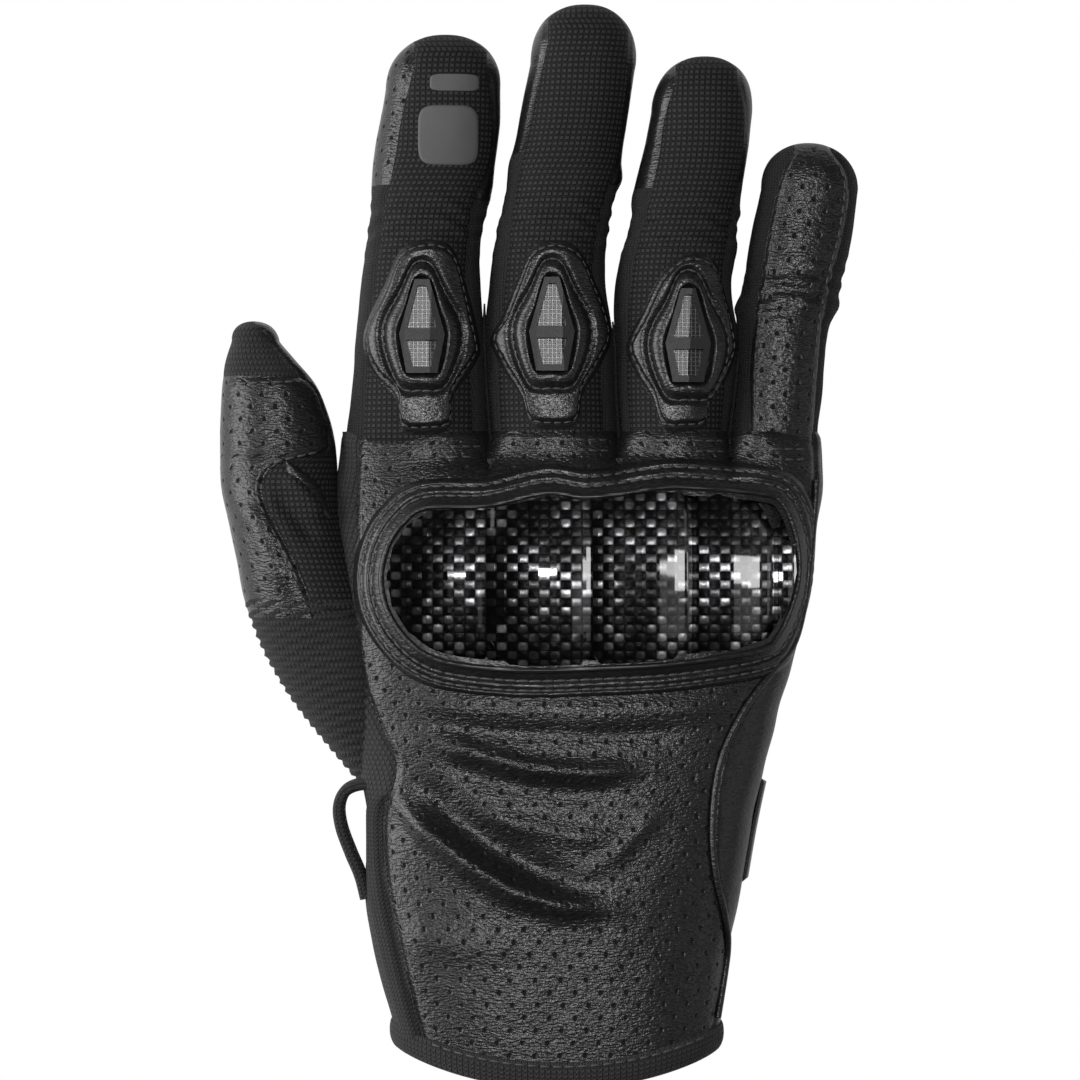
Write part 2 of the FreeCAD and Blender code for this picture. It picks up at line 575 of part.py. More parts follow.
# ---------------------------------------------------------------- wrist closure
def wrist_layer(name, low, high, *stops):
    """A layer wrapped round the wrist between two offsets of the hand, with corners at each stop."""
    angles = []
    for start, end in zip(stops, stops[1:]):
        angles += span(start, end, max(2, round((end - start) / 10)))[:-1]
    layer = panel(f"{name}_layer", hand[3:6], [angles + [stops[-1]]] * 3, low, high)
    trim = block(f"{name}_trim", (-FAR, size("strap_bottom_y"), -FAR), (FAR, size("strap_top_y"), FAR))
    width = f"{cell('strap_top_y')} - {cell('strap_bottom_y')}"
    bind(trim, Placement__Base__y=cell("strap_bottom_y"), Width=width)
    return common(name, layer, trim)


def under_angle(x):
    """The angle on the underside of the wrist at x."""
    return hand[4].angle_at(x, below=True)


ANCHOR_END = 366        # angle round the wrist where the anchor is sewn down
tape, seat = size("tape_thickness"), size("seat_gap") / 2
strap_in = 2 * tape + size("seat_gap")
strap_out = strap_in + size("strap_thickness")
root_x, end_x, tape_x = size("strap_root_x"), size("strap_end_x"), size("tape_end_x")
tape_start, hook_stop, tape_stop = under_angle(end_x), under_angle(tape_x - 2), under_angle(tape_x)
tab_start, strap_stop = under_angle(end_x - size("tab_length")), under_angle(root_x - size("joint_gap"))
keep("strap_loop_tape", wrist_layer("loop_tape", seat, tape, tape_start, tape_stop))
keep("strap_hook_tape", wrist_layer("hook_tape", strap_in - tape, strap_in, tape_start, hook_stop))
strap_stops = (tab_start, tape_start, hook_stop, strap_stop)
keep("wrist_strap", wrist_layer("strap_body", strap_in, strap_out, *strap_stops))
keep("strap_anchor", wrist_layer("strap_anchor_body", seat, strap_out, under_angle(root_x), ANCHOR_END))

# ---------------------------------------------------------------- pull loop
loop_x = size("wrist_left") + 1.0
mid_y, half_length = size("loop_mid_y"), size("loop_half_length")


def loop_arc(inset):
    """The outline of the folded tape: a drop that hangs fullest near its upper end."""
    points = []
    bulge, reach_along = size("loop_bulge") - inset, half_length - inset
    for k in range(11):
        angle = math.radians(90 + 18 * k)
        reach = max(0.0, -math.cos(angle)) ** 0.75 * (1 + 0.5 * math.sin(angle)) / 1.25
        points.append((loop_x - bulge * reach, mid_y + reach_along * math.sin(angle)))
    return points


loop_outline = straight_outline(loop_arc(0) + loop_arc(size("loop_wall"))[::-1])
loop_solid = raised("loop_solid", loop_outline, size("loop_low_z"), size("loop_low_z") + size("loop_width"))
keep("pull_loop", cut("loop_seated", loop_solid, hand_outer))

# ---------------------------------------------------------------- palm patch
patch = doc.addObject("PartDesign::Body", "patch_body")
doc.recompute()
base_plane = [f for f in patch.Origin.OriginFeatures if f.Role == "XY_Plane"][0]
sketch = patch.newObject("Sketcher::SketchObject", "patch_sketch")
sketch.AttachmentSupport, sketch.MapMode = (base_plane, [""]), "FlatFace"


def rounded_rectangle(half_width, half_length, corner, mid_y):
    """The eight edges of a rounded rectangle, in order."""
    edges = []
    for k in range(4):
        angle = k * math.pi / 2
        sx, sy = (1, 1, -1, -1)[k], (1, -1, -1, 1)[k]
        nx, ny = (1, -1, -1, 1)[k], (-1, -1, 1, 1)[k]
        centre = Vector(sx * (half_width - corner), mid_y + sy * (half_length - corner), 0)
        circle = Part.Circle(centre, Vector(0, 0, 1), corner)
        start = {0: 0, 1: 1.5, 2: 1, 3: 0.5}[k] * math.pi
        edges.append(Part.ArcOfCircle(circle, start, start + math.pi / 2))
        if k % 2 == 0:
            a = centre + Vector(sx * corner, 0, 0)
            b = Vector(a.x, mid_y + ny * (half_length - corner), 0)
        else:
            a = centre + Vector(0, sy * corner, 0)
            b = Vector(nx * (half_width - corner), a.y, 0)
        edges.append(Part.LineSegment(a, b))
    return edges


patch_sizes = [size(f"patch_{part}") for part in ("half_width", "half_length", "corner", "y")]
sketch.addGeometry(rounded_rectangle(*patch_sizes), False)
pad = patch.newObject("PartDesign::Pad", "patch_pad")
pad.Profile = sketch
bind(pad, Length=f"{cell('patch_height')} + 2")
keep("palm_patch", cut("patch_seated", patch, hand_outer))

# ---------------------------------------------------------------- checks and files
doc.recompute()
for obj in doc.Objects:
    if "Invalid" in obj.State or "Error" in obj.State:
        raise RuntimeError(f"{obj.Name} failed: {obj.State}")
os.makedirs("parts", exist_ok=True)
for node, obj in parts.items():
    if obj.Shape.isNull() or not obj.Shape.isValid() or obj.Shape.Volume <= 0:
        raise RuntimeError(f"{node} has no valid shape")
    obj.Shape.exportStep(f"parts/{node}.step")
    print(node, len(obj.Shape.Solids), round(obj.Shape.Volume, 1))
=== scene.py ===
import math
import bpy
import numpy as np
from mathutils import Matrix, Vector


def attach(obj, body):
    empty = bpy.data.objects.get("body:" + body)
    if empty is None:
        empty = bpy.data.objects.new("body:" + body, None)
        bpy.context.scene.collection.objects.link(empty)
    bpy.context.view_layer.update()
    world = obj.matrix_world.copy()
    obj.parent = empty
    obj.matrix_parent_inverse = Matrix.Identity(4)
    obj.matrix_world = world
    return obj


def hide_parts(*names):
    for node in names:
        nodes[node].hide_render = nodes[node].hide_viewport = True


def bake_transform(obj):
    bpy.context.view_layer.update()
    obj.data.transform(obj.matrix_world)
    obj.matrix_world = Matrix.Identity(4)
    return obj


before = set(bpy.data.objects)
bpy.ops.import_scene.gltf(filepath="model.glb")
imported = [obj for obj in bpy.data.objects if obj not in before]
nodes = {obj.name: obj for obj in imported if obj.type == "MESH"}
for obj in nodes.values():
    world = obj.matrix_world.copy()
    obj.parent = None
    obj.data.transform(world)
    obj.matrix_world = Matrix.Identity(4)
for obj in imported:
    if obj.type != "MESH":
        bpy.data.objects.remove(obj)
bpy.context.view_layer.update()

MM = 0.001

# ---------------------------------------------------------------- curves and sections, in millimetres


def curve(keys, values, at):
    """A smooth function through (keys, values), read at many places."""
    keys, values = np.asarray(keys, float), np.asarray(values, float)
    if keys[0] > keys[-1]:
        keys, values = keys[::-1], values[::-1]
    at = np.clip(np.asarray(at, float), keys[0], keys[-1])
    slopes = np.gradient(values, keys)
    i = np.clip(np.searchsorted(keys, at, side="right") - 1, 0, len(keys) - 2)
    width = keys[i + 1] - keys[i]
    q = (at - keys[i]) / width
    return ((1 + 2 * q) * (1 - q) ** 2 * values[i] + q * (1 - q) ** 2 * width * slopes[i]
            + q * q * (3 - 2 * q) * values[i + 1] + q * q * (q - 1) * width * slopes[i + 1])


def line(points, at):
    """x along a seam given by (x, y) points, read at many y."""
    points = sorted(points, key=lambda p: p[1])
    return curve([p[1] for p in points], [p[0] for p in points], at)


def smoothstep(low, high, value):
    q = np.clip((value - low) / (high - low), 0, 1)
    return q * q * (3 - 2 * q)


def ovals(angles, centre_x, centre_z, half_width, half_height, top_power, bottom_power):
    """Points of superellipses: 0 degrees is the +X side, 90 the top."""
    a = np.radians(angles)
    c, s = np.cos(a), np.sin(a)
    power = np.where(s > 0, top_power, bottom_power)
    reach = (np.abs(c) ** power + np.abs(s) ** power) ** (-1 / power)
    return centre_x + reach * c * half_width, centre_z + reach * s * half_height


def angle_at(share, power):
    share = np.clip(share, -0.995, 0.995)
    return np.degrees(np.arctan2((1 - np.abs(share) ** power) ** (1 / power), share))


def dome(oval, x, power):
    """Height of a section's upper side at x."""
    cx, cz, half, high = oval
    share = np.clip(np.abs(x - cx) / np.maximum(half, 0.1), 0, 0.999)
    return cz + high * (1 - share ** power) ** (1 / power)


def run_along(points, axis=0):
    """Length along rows or columns of points, up to each one."""
    steps = np.linalg.norm(np.diff(points, axis=axis), axis=-1)
    return np.insert(np.cumsum(steps, axis=axis), 0, 0.0, axis=axis)


def section_points(turn, y, oval, powers, grow=0.0):
    """Points at the given angles round each row's section, moved outwards by grow."""
    cx, cz, half, high = [v[:, None] for v in oval]
    x, z = ovals(turn, cx, cz, half + grow, high + grow, *powers)
    return np.stack([x, np.broadcast_to(y[:, None], x.shape), z], axis=2)


def spread(limits, counts):
    """Angles for panels side by side: counts[k] of them from limits[k] up to limits[k + 1]."""
    turns = []
    for first, last, count in zip(limits, limits[1:], counts):
        q = np.arange(count) / count
        turns.append(first[:, None] * (1 - q) + last[:, None] * q)
    return np.concatenate(turns, axis=1)


def tip_rows(first, last, step, tip_y, closing, count):
    """Rows from first to last, which draw together over the last part of a rounded tip."""
    y = np.arange(first, last, step)
    if last < tip_y:
        return np.append(y[y < last - 0.3], last)
    run = np.linspace(0, 1, count)[1:]
    ends = tip_y - closing + (closing - 0.02) * np.sin(run * math.pi / 2)
    return np.concatenate([y[y < tip_y - closing], ends])


def with_tip(points, tip):
    """Closes rings of points in one point."""
    return np.concatenate([points, np.broadcast_to(tip, (1, points.shape[1], 3))])


def rounded_rim(centre, halves, power, count):
    """The outline of a rectangle with rounded corners."""
    turn = np.linspace(0, 2 * math.pi, count, endpoint=False)
    rim = np.stack([np.cos(turn), np.sin(turn)], axis=1)
    return np.sign(rim) * np.abs(rim) ** power * np.array(halves) + np.array(centre)


# ---------------------------------------------------------------- meshes


def normals_of(points):
    """Outward unit normals of a grid: rows run to the fingers, columns turn from +X over the top."""
    n = np.cross(np.gradient(points, axis=0), np.gradient(points, axis=1))
    return n / np.maximum(np.linalg.norm(n, axis=2, keepdims=True), 1e-9)


def ring_normals(points):
    """The same for a grid whose last column meets its first."""
    return normals_of(np.concatenate([points[:, -1:], points, points[:, :1]], axis=1))[:, 1:-1]


def on_surface(top, path, lift=0.0, reach=0.3, relief=None):
    """Points over a surface with their outward directions, as rows of six. path holds (x, y) points."""
    x, y = np.asarray(path, float).T
    dx = (top(x + reach, y) - top(x - reach, y)) / (2 * reach)
    dy = (top(x, y + reach) - top(x, y - reach)) / (2 * reach)
    way = np.stack([-dx, -dy, np.ones(len(x))], axis=1)
    way /= np.linalg.norm(way, axis=1, keepdims=True)
    z = top(x, y) + (relief(x, y) if relief else 0)
    return np.hstack([np.stack([x, y, z], axis=1) + way * np.reshape(lift, (-1, 1)), way])


def flat_uv(points):
    """x and y of a closed grid as its texture's place."""
    return np.concatenate([points, points[:, :1]], axis=1)[:, :, :2]


def linked(name, data):
    """A new object in the scene."""
    obj = bpy.data.objects.new(name, data)
    bpy.context.scene.collection.objects.link(obj)
    return obj


def face_up(obj, up=True):
    """Turns a sheet's faces up, or down."""
    if (obj.data.polygons[0].normal.z > 0) != up:
        obj.data.flip_normals()
    return obj


def repaint(node, material):
    """Gives a solid of the frame its material."""
    nodes[node].data.materials.clear()
    nodes[node].data.materials.append(MATERIALS[material])


def build(name, verts, faces, materials, face_materials=None, uv=None):
    """A smooth-shaded mesh. verts and uv, which has a pair for each face corner, are in millimetres.
    materials are keys of MATERIALS."""
    mesh = bpy.data.meshes.new(name)
    mesh.from_pydata((np.asarray(verts) * MM).tolist(), [], faces)
    for material in materials:
        mesh.materials.append(MATERIALS[material])
    if face_materials is not None:
        mesh.polygons.foreach_set("material_index", np.asarray(face_materials, np.int32))
    mesh.polygons.foreach_set("use_smooth", np.ones(len(mesh.polygons), bool))
    if uv is not None:
        layer = mesh.uv_layers.new(name="cloth")
        layer.data.foreach_set("uv", np.asarray(uv, np.float32).ravel())
    mesh.update()
    return linked(name, mesh)


def grid(name, points, materials, uv, owners=None, closed=False, flip=False):
    """A sheet of quads. uv has the grid's shape, and one more column if closed.
    owners gives the number of the material of each face."""
    rows, cols = points.shape[:2]
    i, j = np.meshgrid(np.arange(rows - 1), np.arange(cols if closed else cols - 1), indexing="ij")
    i, j = i.ravel(), j.ravel()
    k = (j + 1) % cols
    corners = [(i, j), (i + 1, j), (i + 1, k), (i, k)]
    texture = [(i, j), (i + 1, j), (i + 1, j + 1), (i, j + 1)]
    if flip:
        corners, texture = corners[::-1], texture[::-1]
    faces = np.stack([a * cols + b for a, b in corners], axis=1)
    coords = np.stack([uv[a, b] for a, b in texture], axis=1)
    picked = None if owners is None else owners[i, j]
    return build(name, points.reshape(-1, 3), faces.tolist(), materials, picked, coords)


def cloth_uv(points, start=None, closed=False):
    """Lengths across and along a grid, in millimetres, measured from its middle column."""
    if closed:
        points = np.concatenate([points, points[:, :1]], axis=1)
    across = run_along(points, 1)
    middle = points.shape[1] // 2 if start is None else start
    return np.stack([across[:, middle:middle + 1] - across, points[:, :, 1]], axis=2)


def polyline(points, pitch):
    """Evenly spaced points and directions along a path."""
    total = run_along(points)
    at = np.arange(pitch / 2, total[-1], pitch)
    here, ahead, behind = [np.stack([np.interp(at + step, total, points[:, k]) for k in range(3)], axis=1)
                           for step in (0, 0.3, -0.3)]
    way = ahead - behind
    return here, way / np.maximum(np.linalg.norm(way, axis=1, keepdims=True), 1e-9)


STITCH_SIDES = 6
STITCH_STATIONS = ((-0.5, 0.25), (-0.36, 0.9), (0.0, 1.0), (0.36, 0.9), (0.5, 0.25))  # (place, size)
TUBE_SIDES = 8


def stitching(name, paths, pitch=2.7, length=2.1, width=0.62, sink=0.05):
    """Rows of sewn stitches, each a small rounded bar. A path's points may carry outward directions."""
    verts, faces = [], []
    ring = [(math.cos(a), math.sin(a)) for a in np.linspace(0, 2 * math.pi, STITCH_SIDES, endpoint=False)]
    last = STITCH_SIDES * (len(STITCH_STATIONS) - 1)
    for path in paths:
        path = np.asarray(path, float)
        points = path[:, :3]
        for where, way in zip(*polyline(points, pitch)):
            nearest = np.argmin(np.linalg.norm(points - where, axis=1))
            lift = path[nearest, 3:] if path.shape[1] == 6 else np.array((0, 0, 1.0))
            side = np.cross(way, lift)
            side /= max(np.linalg.norm(side), 1e-9)
            base = len(verts)
            for share, size in STITCH_STATIONS:
                for c, s in ring:
                    verts.append(where + way * share * length + side * c * width / 2 * size
                                 + lift * (s * width / 2 * size * 0.8 - sink))
            for first in range(base, base + last, STITCH_SIDES):
                for q in range(STITCH_SIDES):
                    a, b = first + q, first + (q + 1) % STITCH_SIDES
                    faces.append((a, b, b + STITCH_SIDES, a + STITCH_SIDES))
            faces.append(tuple(base + q for q in range(STITCH_SIDES - 1, -1, -1)))
            faces.append(tuple(base + last + q for q in range(STITCH_SIDES)))
    return build(name, verts, faces, ["thread"])


def tube(name, points, radius, material, closed=False):
    """A round cord along points."""
    if closed:
        way = np.roll(points, -1, axis=0) - np.roll(points, 1, axis=0)
    else:
        way = np.gradient(points, axis=0)
    way /= np.linalg.norm(way, axis=1, keepdims=True)
    side = np.cross(way, (0, 0, 1.0))
    side /= np.maximum(np.linalg.norm(side, axis=1, keepdims=True), 1e-9)
    lift = np.cross(side, way)
    rings = np.stack([points + (side * math.cos(a) + lift * math.sin(a)) * radius
                      for a in np.arange(TUBE_SIDES) * 2 * math.pi / TUBE_SIDES], axis=1)
    if closed:
        rings = np.concatenate([rings, rings[:1]], axis=0)
    return grid(name, rings, [material], cloth_uv(rings, 0, True), closed=True, flip=True)


# ---------------------------------------------------------------- materials


class Nodes:
    """Builds a material's nodes. Each method returns an output socket."""

    def __init__(self, name):
        self.material = bpy.data.materials.new(name)
        self.material.use_nodes = True
        self.tree = self.material.node_tree
        self.surface = self.tree.nodes["Principled BSDF"]

    def add(self, kind, **settings):
        node = self.tree.nodes.new(kind)
        for key, value in settings.items():
            setattr(node, key, value)
        return node

    def put(self, socket, value):
        if hasattr(value, "is_output"):
            self.tree.links.new(value, socket)
        else:
            socket.default_value = value

    def fill(self, node, *values):
        for socket, value in zip(node.inputs, values):
            self.put(socket, value)
        return node.outputs[0]

    def math(self, operation, *values):
        return self.fill(self.add("ShaderNodeMath", operation=operation), *values)

    def vector(self, operation, *values):
        node = self.add("ShaderNodeVectorMath", operation=operation)
        self.fill(node, *values)
        return node.outputs["Value" if operation in ("LENGTH", "DISTANCE", "DOT_PRODUCT") else "Vector"]

    def cloth(self):
        return self.add("ShaderNodeTexCoord").outputs["UV"]

    def space(self):
        """Place on the object in millimetres."""
        return self.vector("MULTIPLY", self.add("ShaderNodeTexCoord").outputs["Object"], (1000, 1000, 1000))

    def cell(self, where, size):
        """Place in a cell of a repeating pattern, from the cell's middle. size is half the cell's."""
        node = self.add("ShaderNodeVectorMath", operation="WRAP")
        self.fill(node, where, size, tuple(-v for v in size))
        return node.outputs[0]

    def xyz(self, vector):
        node = self.add("ShaderNodeSeparateXYZ")
        self.put(node.inputs[0], vector)
        return node.outputs

    def ramp(self, value, low, high, out_low=0.0, out_high=1.0):
        node = self.add("ShaderNodeMapRange", interpolation_type="SMOOTHSTEP")
        return self.fill(node, value, low, high, out_low, out_high)

    def noise(self, where, scale, detail=3.0, rough=0.5):
        node = self.add("ShaderNodeTexNoise")
        self.put(node.inputs["Vector"], where)
        node.inputs["Scale"].default_value = scale
        node.inputs["Detail"].default_value = detail
        node.inputs["Roughness"].default_value = rough
        return node.outputs["Fac"]

    def cells(self, where, scale, feature="F1"):
        node = self.add("ShaderNodeTexVoronoi", feature=feature)
        self.put(node.inputs["Vector"], where)
        node.inputs["Scale"].default_value = scale
        return node.outputs["Distance"]

    def wave(self, value, pitch):
        """0 to 1, once in each pitch."""
        sine = self.math("SINE", self.math("MULTIPLY", value, 2 * math.pi / pitch))
        return self.math("MULTIPLY_ADD", sine, 0.5, 0.5)

    def mix(self, share, first, second):
        node = self.add("ShaderNodeMix", data_type="RGBA")
        self.put(node.inputs["Factor"], share)
        for socket, value in zip([s for s in node.inputs if s.type == "RGBA"], (first, second)):
            self.put(socket, value if hasattr(value, "is_output") else (*value, 1.0))
        return [s for s in node.outputs if s.type == "RGBA"][0]

    def finish(self, colour, roughness, height=None, depth=0.3, **extra):
        self.put(self.surface.inputs["Base Color"], colour)
        self.put(self.surface.inputs["Roughness"], roughness)
        for key, value in extra.items():
            self.put(self.surface.inputs[key.replace("_", " ")], value)
        if height is not None:
            bump = self.add("ShaderNodeBump")
            bump.inputs["Distance"].default_value = depth * MM
            bump.inputs["Strength"].default_value = 1.0
            self.put(bump.inputs["Height"], height)
            self.put(self.surface.inputs["Normal"], bump.outputs[0])
        return self.material


HOLE_CELL = (2.75, 2.7, 1.0)


def grey(value):
    """A neutral colour from its brightness on screen, 0 to 255."""
    v = value / 255
    linear = v / 12.92 if v <= 0.04045 else ((v + 0.055) / 1.055) ** 2.4
    return (linear, linear, linear * 1.03)


def leather(name, tone, punched=False, grain=0.36, rough=0.42):
    """Finished goatskin: fine wrinkles that run across the hand, with their ridges painted paler, a painted
    highlight.
    """
    n = Nodes(name)
    cloth = n.cloth()
    wrinkles = n.cells(n.vector("MULTIPLY", cloth, (0.55, 1.5, 1.0)), 1.8, "SMOOTH_F1")
    pores = n.cells(cloth, 3.0, "SMOOTH_F1")
    slow = n.noise(n.vector("MULTIPLY", cloth, (0.3, 1.0, 1.0)), 0.8, 4.0, 0.6)
    height = n.math("MULTIPLY_ADD", slow, 0.55, n.math("MULTIPLY_ADD", pores, 0.4, wrinkles))
    worn = n.ramp(n.noise(cloth, 0.045, 3.0), 0.35, 0.7)
    colour = n.mix(worn, grey(tone - 3), grey(tone + 3))
    # painted highlight: a paler grey painted on the wrinkles' ridges, up to half way
    colour = n.mix(n.ramp(wrinkles, 0.3, 0.8, 0.0, 0.5), colour, grey(tone + 16))
    roughness = n.math("MULTIPLY_ADD", pores, 0.2, rough - 0.08)
    if punched:  # two sets of holes, each half a cell from the other
        away = [n.vector("LENGTH", n.vector("MULTIPLY", n.cell(n.vector("ADD", cloth, shift), HOLE_CELL),
                                            (1.0, 1.0, 0.0)))
                for shift in ((0.0, 0.0, 0.0), (*HOLE_CELL[:2], 0.0))]
        near = n.math("MINIMUM", *away)
        hole = n.ramp(near, 0.30, 0.46, 1.0, 0.0)
        rim = n.ramp(near, 0.42, 0.75, 1.0, 0.0)
        # painted shade: the holes are painted near black, for the dark inside of each perforation
        colour = n.mix(hole, colour, (0.0008, 0.0008, 0.0008))
        height = n.math("MULTIPLY_ADD", rim, -0.5, n.math("MULTIPLY_ADD", hole, -2.5, height))
        roughness = n.math("MAXIMUM", roughness, hole)
    return n.finish(colour, roughness, height, grain, Specular_IOR_Level=0.42)


def suede(name, tone):
    n = Nodes(name)
    cloth = n.cloth()
    nap = n.noise(cloth, 3.2, 5.0, 0.7)
    patch = n.noise(cloth, 0.12, 3.0)
    colour = n.mix(n.ramp(patch, 0.3, 0.7), grey(tone - 4), grey(tone + 6))
    colour = n.mix(n.ramp(nap, 0.45, 0.8, 0.0, 0.5), colour, grey(tone + 20))
    return n.finish(colour, 0.86, nap, 0.35, Sheen_Weight=0.06, Specular_IOR_Level=0.2)


def grid_cloth(name, tone):
    """Woven fabric with a raised square grid."""
    n = Nodes(name)
    cloth = n.cloth()
    x, y, _ = n.xyz(n.vector("ABSOLUTE", n.cell(cloth, (0.62, 0.62, 1.0))))
    block = n.ramp(n.math("MAXIMUM", x, y), 0.30, 0.50, 1.0, 0.0)
    thread = n.noise(cloth, 2.6, 3.0)
    # painted highlight and shade: the raised squares are painted paler and the grooves between them darker
    colour = n.mix(block, grey(tone - 12), grey(tone + 22))
    colour = n.mix(n.ramp(thread, 0.4, 0.75, 0.0, 0.55), colour, grey(tone + 4))
    return n.finish(colour, 0.7, n.math("MULTIPLY_ADD", thread, 0.4, block), 0.28, Specular_IOR_Level=0.2)


def knit(name, tone, wale=1.3, course=1.1):
    """Weft knit: columns of small v-shaped loops."""
    n = Nodes(name)
    x, y, _ = n.xyz(n.cloth())
    column = n.math("PINGPONG", x, wale / 2)
    slant = n.math("ADD", y, n.math("MULTIPLY", column, 0.9))
    loops = n.wave(slant, course)
    groove = n.ramp(column, 0.0, wale * 0.16)
    height = n.math("MULTIPLY", n.math("MULTIPLY_ADD", loops, 0.7, 0.3), groove)
    fuzz = n.noise(n.cloth(), 2.2, 4.0)
    # painted shade and highlight: the colour follows the loops' height, darker in the grooves between them
    # and paler on their tops
    colour = n.mix(height, grey(tone - 16), grey(tone + 12))
    colour = n.mix(n.ramp(fuzz, 0.45, 0.8, 0.0, 0.3), colour, grey(tone + 18))
    return n.finish(colour, 0.8, height, 0.3, Sheen_Weight=0.04, Specular_IOR_Level=0.2)


def carbon(name):
    """Plain-weave carbon under a clear coat. The light that warp and weft tows catch by turns is painted into
    their colour as bright and dark checks, with painted shade at each tow's edges.
    """
    n = Nodes(name)
    x, y, _ = n.xyz(n.space())
    u, v = [n.math("MULTIPLY_ADD", at, 1 / tow, 100.0) for at, tow in ((x, 2.3), (y, 1.9))]
    cell = n.add("ShaderNodeCombineXYZ")
    column, row = n.math("FLOOR", u), n.math("FLOOR", v)
    n.fill(cell, column, row)
    chance = n.add("ShaderNodeTexWhiteNoise", noise_dimensions="2D")
    n.put(chance.inputs["Vector"], cell.outputs[0])
    checks = n.math("MODULO", n.math("ADD", column, row), 2.0)
    across, along = [n.math("SINE", n.math("MULTIPLY", n.math("FRACT", at), math.pi)) for at in (u, v)]
    bow = n.math("MULTIPLY", across, along)
    strand = n.add("ShaderNodeMix", data_type="FLOAT")
    for k, value in ((0, checks), (2, n.wave(y, 0.27)), (3, n.wave(x, 0.27))):
        n.put(strand.inputs[k], value)
    height = n.math("MULTIPLY_ADD", strand.outputs[0], 0.16, bow)
    patches = n.ramp(n.noise(n.space(), 0.11, 2.0), 0.38, 0.62, 0.06, 1.0)
    # painted reflection: every other tow is painted bright, more so in slow random patches
    bright = n.math("MULTIPLY", checks, n.ramp(chance.outputs["Value"], 0.1, 1.0, 0.15, 1.0))
    tone = n.mix(n.math("MULTIPLY", bright, patches), (0.004, 0.004, 0.0045), (0.44, 0.44, 0.46))
    # painted shade: darker towards the edges of each tow
    tone = n.mix(n.ramp(bow, 0.0, 0.5, 0.9, 0.0), tone, (0.002, 0.002, 0.002))
    return n.finish(tone, 0.33, height, 0.16, Metallic=0.85, Coat_Weight=0.8, Coat_Roughness=0.05)


def plastic(name, tone, rough=0.38):
    n = Nodes(name)
    place = n.space()
    spark = n.noise(place, 1.6, 4.0, 0.65)
    colour = n.mix(n.ramp(n.noise(place, 0.08), 0.3, 0.7), grey(tone), grey(tone + 5))
    return n.finish(colour, n.math("MULTIPLY_ADD", spark, 0.16, rough), spark, 0.05, Specular_IOR_Level=0.35)


def thread(name, tone):
    n = Nodes(name)
    place = n.space()
    twist = n.noise(place, 4.0, 2.0)
    return n.finish(n.mix(twist, grey(tone - 8), grey(tone + 10)), 0.6, twist, 0.05)


def open_mesh(name):
    """A fine square mesh of bright wire, with the dark well under it painted between the wires as painted
    shade.
    """
    n = Nodes(name)
    x, y, _ = n.xyz(n.space())
    wires = n.math("MAXIMUM", n.wave(x, 0.95), n.wave(y, 0.95))
    wire = n.ramp(wires, 0.78, 0.93)
    # painted shade: near black between the wires
    colour = n.mix(wire, (0.003, 0.003, 0.003), (0.11, 0.11, 0.11))
    return n.finish(colour, 0.4, wire, 0.2, Metallic=n.math("MULTIPLY", wire, 0.7))


MATERIALS = {
    "leather": leather("leather_smooth", 21, grain=0.10, rough=0.34),
    "soft": leather("leather_soft", 21, grain=0.13, rough=0.38),
    "punched": leather("leather_perforated", 21, punched=True, grain=0.16, rough=0.35),
    "suede": suede("palm_suede", 26),
    "grid": grid_cloth("grid_fabric", 22),
    "knit": knit("knit_stretch", 42),
    "tape": knit("knit_tape", 38, 1.0, 0.9),
    "fine": knit("fine_knit", 28, 0.75, 0.6),
    "rib": knit("rib_stretch", 34, 1.0, 1.3),
    "carbon": carbon("carbon_weave"),
    "plastic": plastic("vent_plastic", 16, 0.42),
    "mesh": open_mesh("vent_mesh"),
    "thread": thread("thread", 54),
    "print": plastic("reflective_print", 74, 0.6),
    "lining": knit("lining_cloth", 44, 1.6, 1.2),
    "hook": plastic("hook_tape", 26, 0.6),
}

# ---------------------------------------------------------------- the hand's form

# sides, top and underside of the hand's plain section at each y
HAND_Y = (-98, -84, -72, -57, -38, -16, 0, 12, 24, 35, 48)
HAND_LEFT = (-32.5, -37.0, -40.4, -42.6, -42.4, -46.8, -49.5, -50.0, -50.0, -49.3, -48.0)
HAND_RIGHT = (33.0, 35.2, 36.4, 39.2, 42.6, 48.0, 52.6, 55.6, 56.7, 58.2, 57.4)
HAND_TOP = (39.5, 39.2, 38.5, 37.4, 36.2, 34.6, 33.5, 32.6, 31.0, 28.4, 24.6)
HAND_LOW = (5.4, 5.4, 5.4, 5.4, 5.2, 2.6, 1.2, 1.2, 1.2, 1.2, 1.2)
HAND_POWERS = (2.7, 3.0)  # of the superellipses above and below
FINGER_POWER = 2.3
TABLE_GAP = 1.2
HEM_ROW = -86.0
ROOT_Y = 47.0
JOINT_Y = 44.0
LINING_END = 40.0
LINING_DEPTH = 1.9


def hand_oval(y):
    left, right = curve(HAND_Y, HAND_LEFT, y), curve(HAND_Y, HAND_RIGHT, y)
    top, low = curve(HAND_Y, HAND_TOP, y), curve(HAND_Y, HAND_LOW, y)
    return (left + right) / 2, (top + low) / 2, (right - left) / 2, (top - low) / 2


def hand_angle(y, x, below=False):
    cx, _, half, _ = hand_oval(y)
    share = (np.asarray(x) - cx) / half
    top_power, low_power = HAND_POWERS
    return 360 - angle_at(share, low_power) if below else angle_at(share, top_power)


def hand_top(x, y):
    return to_fingers(x, y, dome(hand_oval(y), x, HAND_POWERS[0]))


